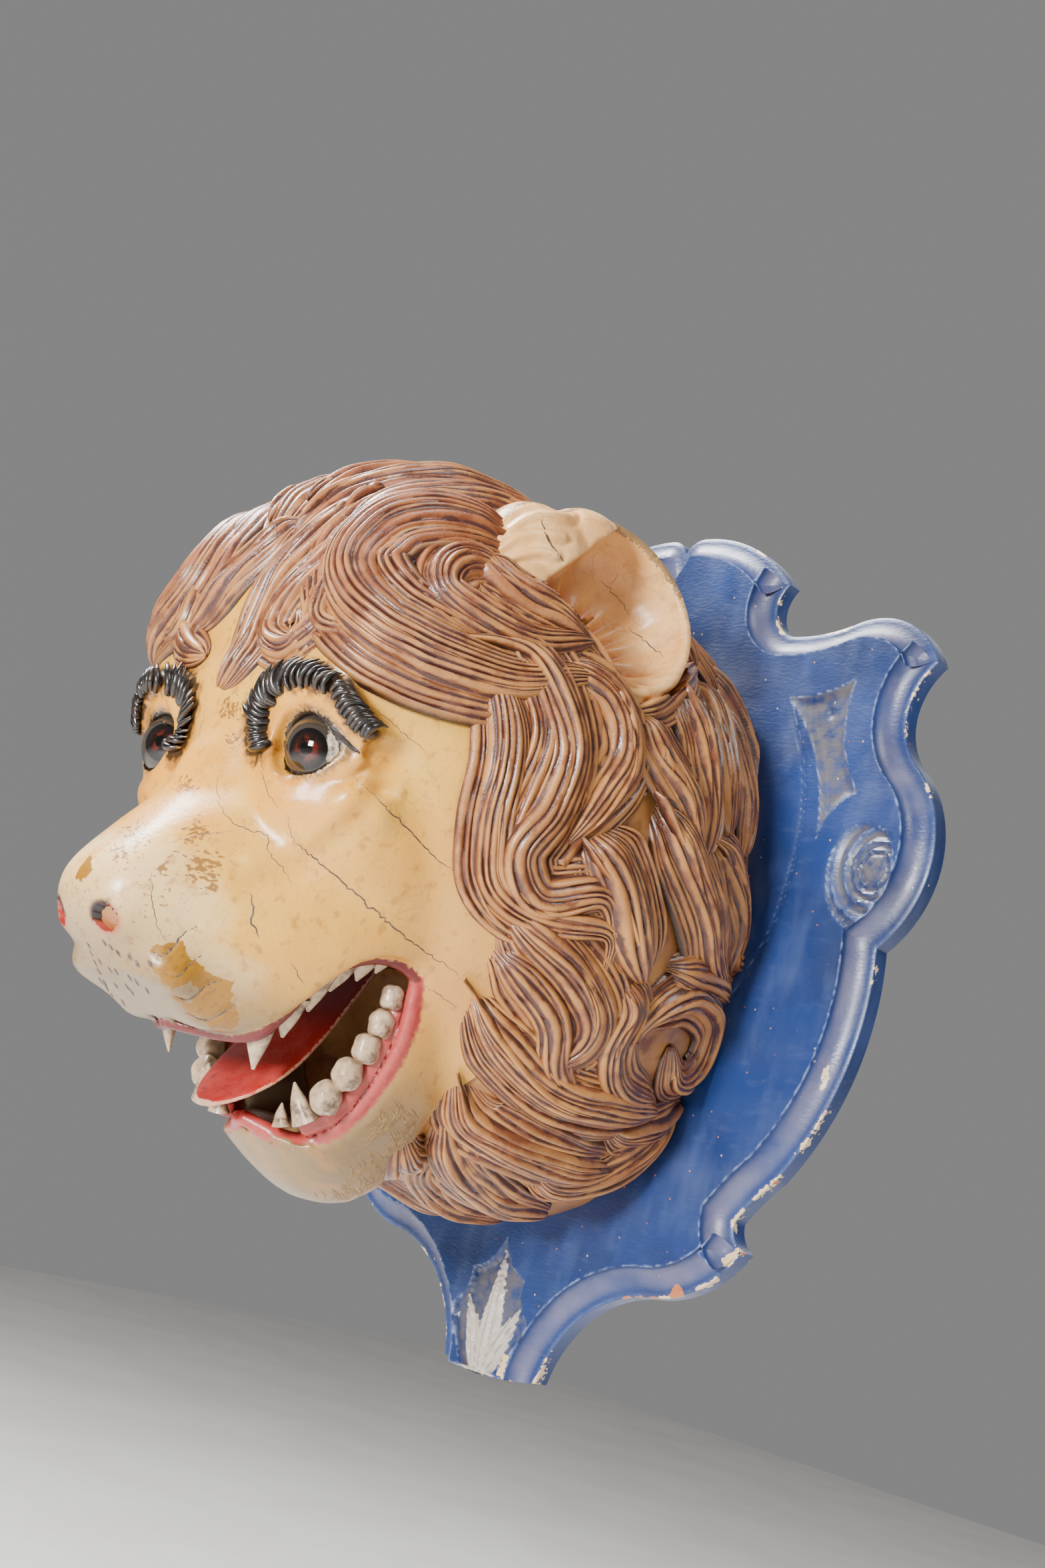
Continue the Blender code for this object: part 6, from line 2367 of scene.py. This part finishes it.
@dataclass
class Tongue:
    """A thin flat tongue that hangs out over the lower lip, dished, with a rubbed edge."""

    line: Curve = ((256, -72), (277, -111), (300, -151), (322, -182), (338, -200), (354, -216))
    half: float = 44.5
    thick: float = 8.0
    sides: int = 44
    squareness: float = 3.2
    dish: float = 0.1

    def build(self) -> Solid:
        """Shape and paint the tongue."""
        middle = even_line([(0, depth, z) for depth, z in self.line], 2.5)
        up = np.cross((1.0, 0.0, 0.0), headings(middle))
        up *= np.where(up[:, 2] < 0, -1, 1)[:, None]
        share = np.linspace(0, 1, len(middle))
        half = self.half * (0.90 + 0.10 * share) * rounded_end(share, 0.62, 0.383, 0.16)
        thick = self.thick / 2 * (1 - 0.35 * share)
        section = oval(1.0, 1.0, self.squareness, self.sides)
        rings = []
        for point, lift, wide, high in zip(middle, up, half, thick):
            dished = [(u, v - self.dish * (1 - u * u) * (v > 0)) for u, v in section]
            rings.append([place(point + np.array((u * wide, 0, 0)) + lift * v * high)
                          for u, v in dished])
        tongue = loft("painted_tongue", rings)
        beside = np.tile([abs(u) for u, _ in section], len(middle))
        along = np.repeat(share, self.sides)
        # inner: painted shade where the tongue runs back into the mouth; edge: rubbed paint.
        keep(tongue, inner=ramp(-along, -0.62, -0.30),
             edge=0.85 * ramp(beside, 0.93, 1.0) + 0.9 * ramp(along, 0.985, 1.0))
        soft_shading(tongue, 50)
        return dress(tongue, TonguePaint().build(), Slot.RED, "tongue")


# ---------------------------------------------------------------- studio

@dataclass
class Studio:
    """A pale floor and soft lights: one low in front, a strong one high on the lion's right."""

    floor_height: float = -0.95
    floor_size: float = 12.0
    aim: Point = (0.0, -0.15, 0.0)
    lamps: Sequence[tuple[str, float, float, float, float, float]] = (
        ("key_light", 15, 4, 2.3, 0.5, 84),
        ("left_light", -66, 56, 3.0, 1.2, 240),
        ("right_light", 72, 48, 3.0, 1.2, 40),
        ("back_light", 200, 25, 3.0, 2.0, 20),
    )
    sky_strength: float = 0.24

    def lamp(self, name: str, azimuth: float, elevation: float, distance: float, size: float,
             watts: float) -> None:
        """Square soft light that faces the mask."""
        way = Vector(bearing(azimuth, elevation))
        data = bpy.data.lights.new(name, "AREA")
        data.shape = "SQUARE"
        data.size = size
        data.energy = watts
        lamp = add_object(name, data)
        lamp.location = way * distance + Vector(self.aim)
        lamp.rotation_euler = way.to_track_quat("Z", "Y").to_euler()

    def build(self) -> None:
        """Lay the floor and hang the lights."""
        bpy.ops.mesh.primitive_plane_add(size=self.floor_size, location=(0, 0, self.floor_height))
        floor = bpy.context.active_object
        floor.name = "studio_floor"
        bpy.ops.object.transform_apply(location=True)
        floor.data.materials.append(FloorPaint().build())
        for lamp in self.lamps:
            self.lamp(*lamp)
        world = bpy.data.worlds.new("studio_world")
        bpy.context.scene.world = world
        world.use_nodes = True
        sky = world.node_tree.nodes["Background"]
        sky.inputs["Color"].default_value = (1.0, 1.0, 1.0, 1.0)
        sky.inputs["Strength"].default_value = self.sky_strength


def main() -> None:
    """Build the mask, its studio and its camera."""
    logging.basicConfig(level=logging.INFO, format="%(name)s: %(message)s")
    bpy.ops.object.select_all(action="DESELECT")
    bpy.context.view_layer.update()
    camera = PhotoCamera()
    camera.build()
    Backboard(camera).build()
    clay = HeadClay()
    skull = clay.build()
    face = Face(camera, clay)
    painted = face.build(skull)
    surface = surface_of(painted)
    face.strokes(surface)
    ears = Ears(camera)
    Mane(camera, ears).build(skull)
    bpy.data.objects.remove(skull)
    ears.build()
    Brows(camera, surface).build()
    Eyes(camera).build()
    Teeth().build()
    Tongue().build()
    Studio().build()


if __name__ == "__main__":
    main()
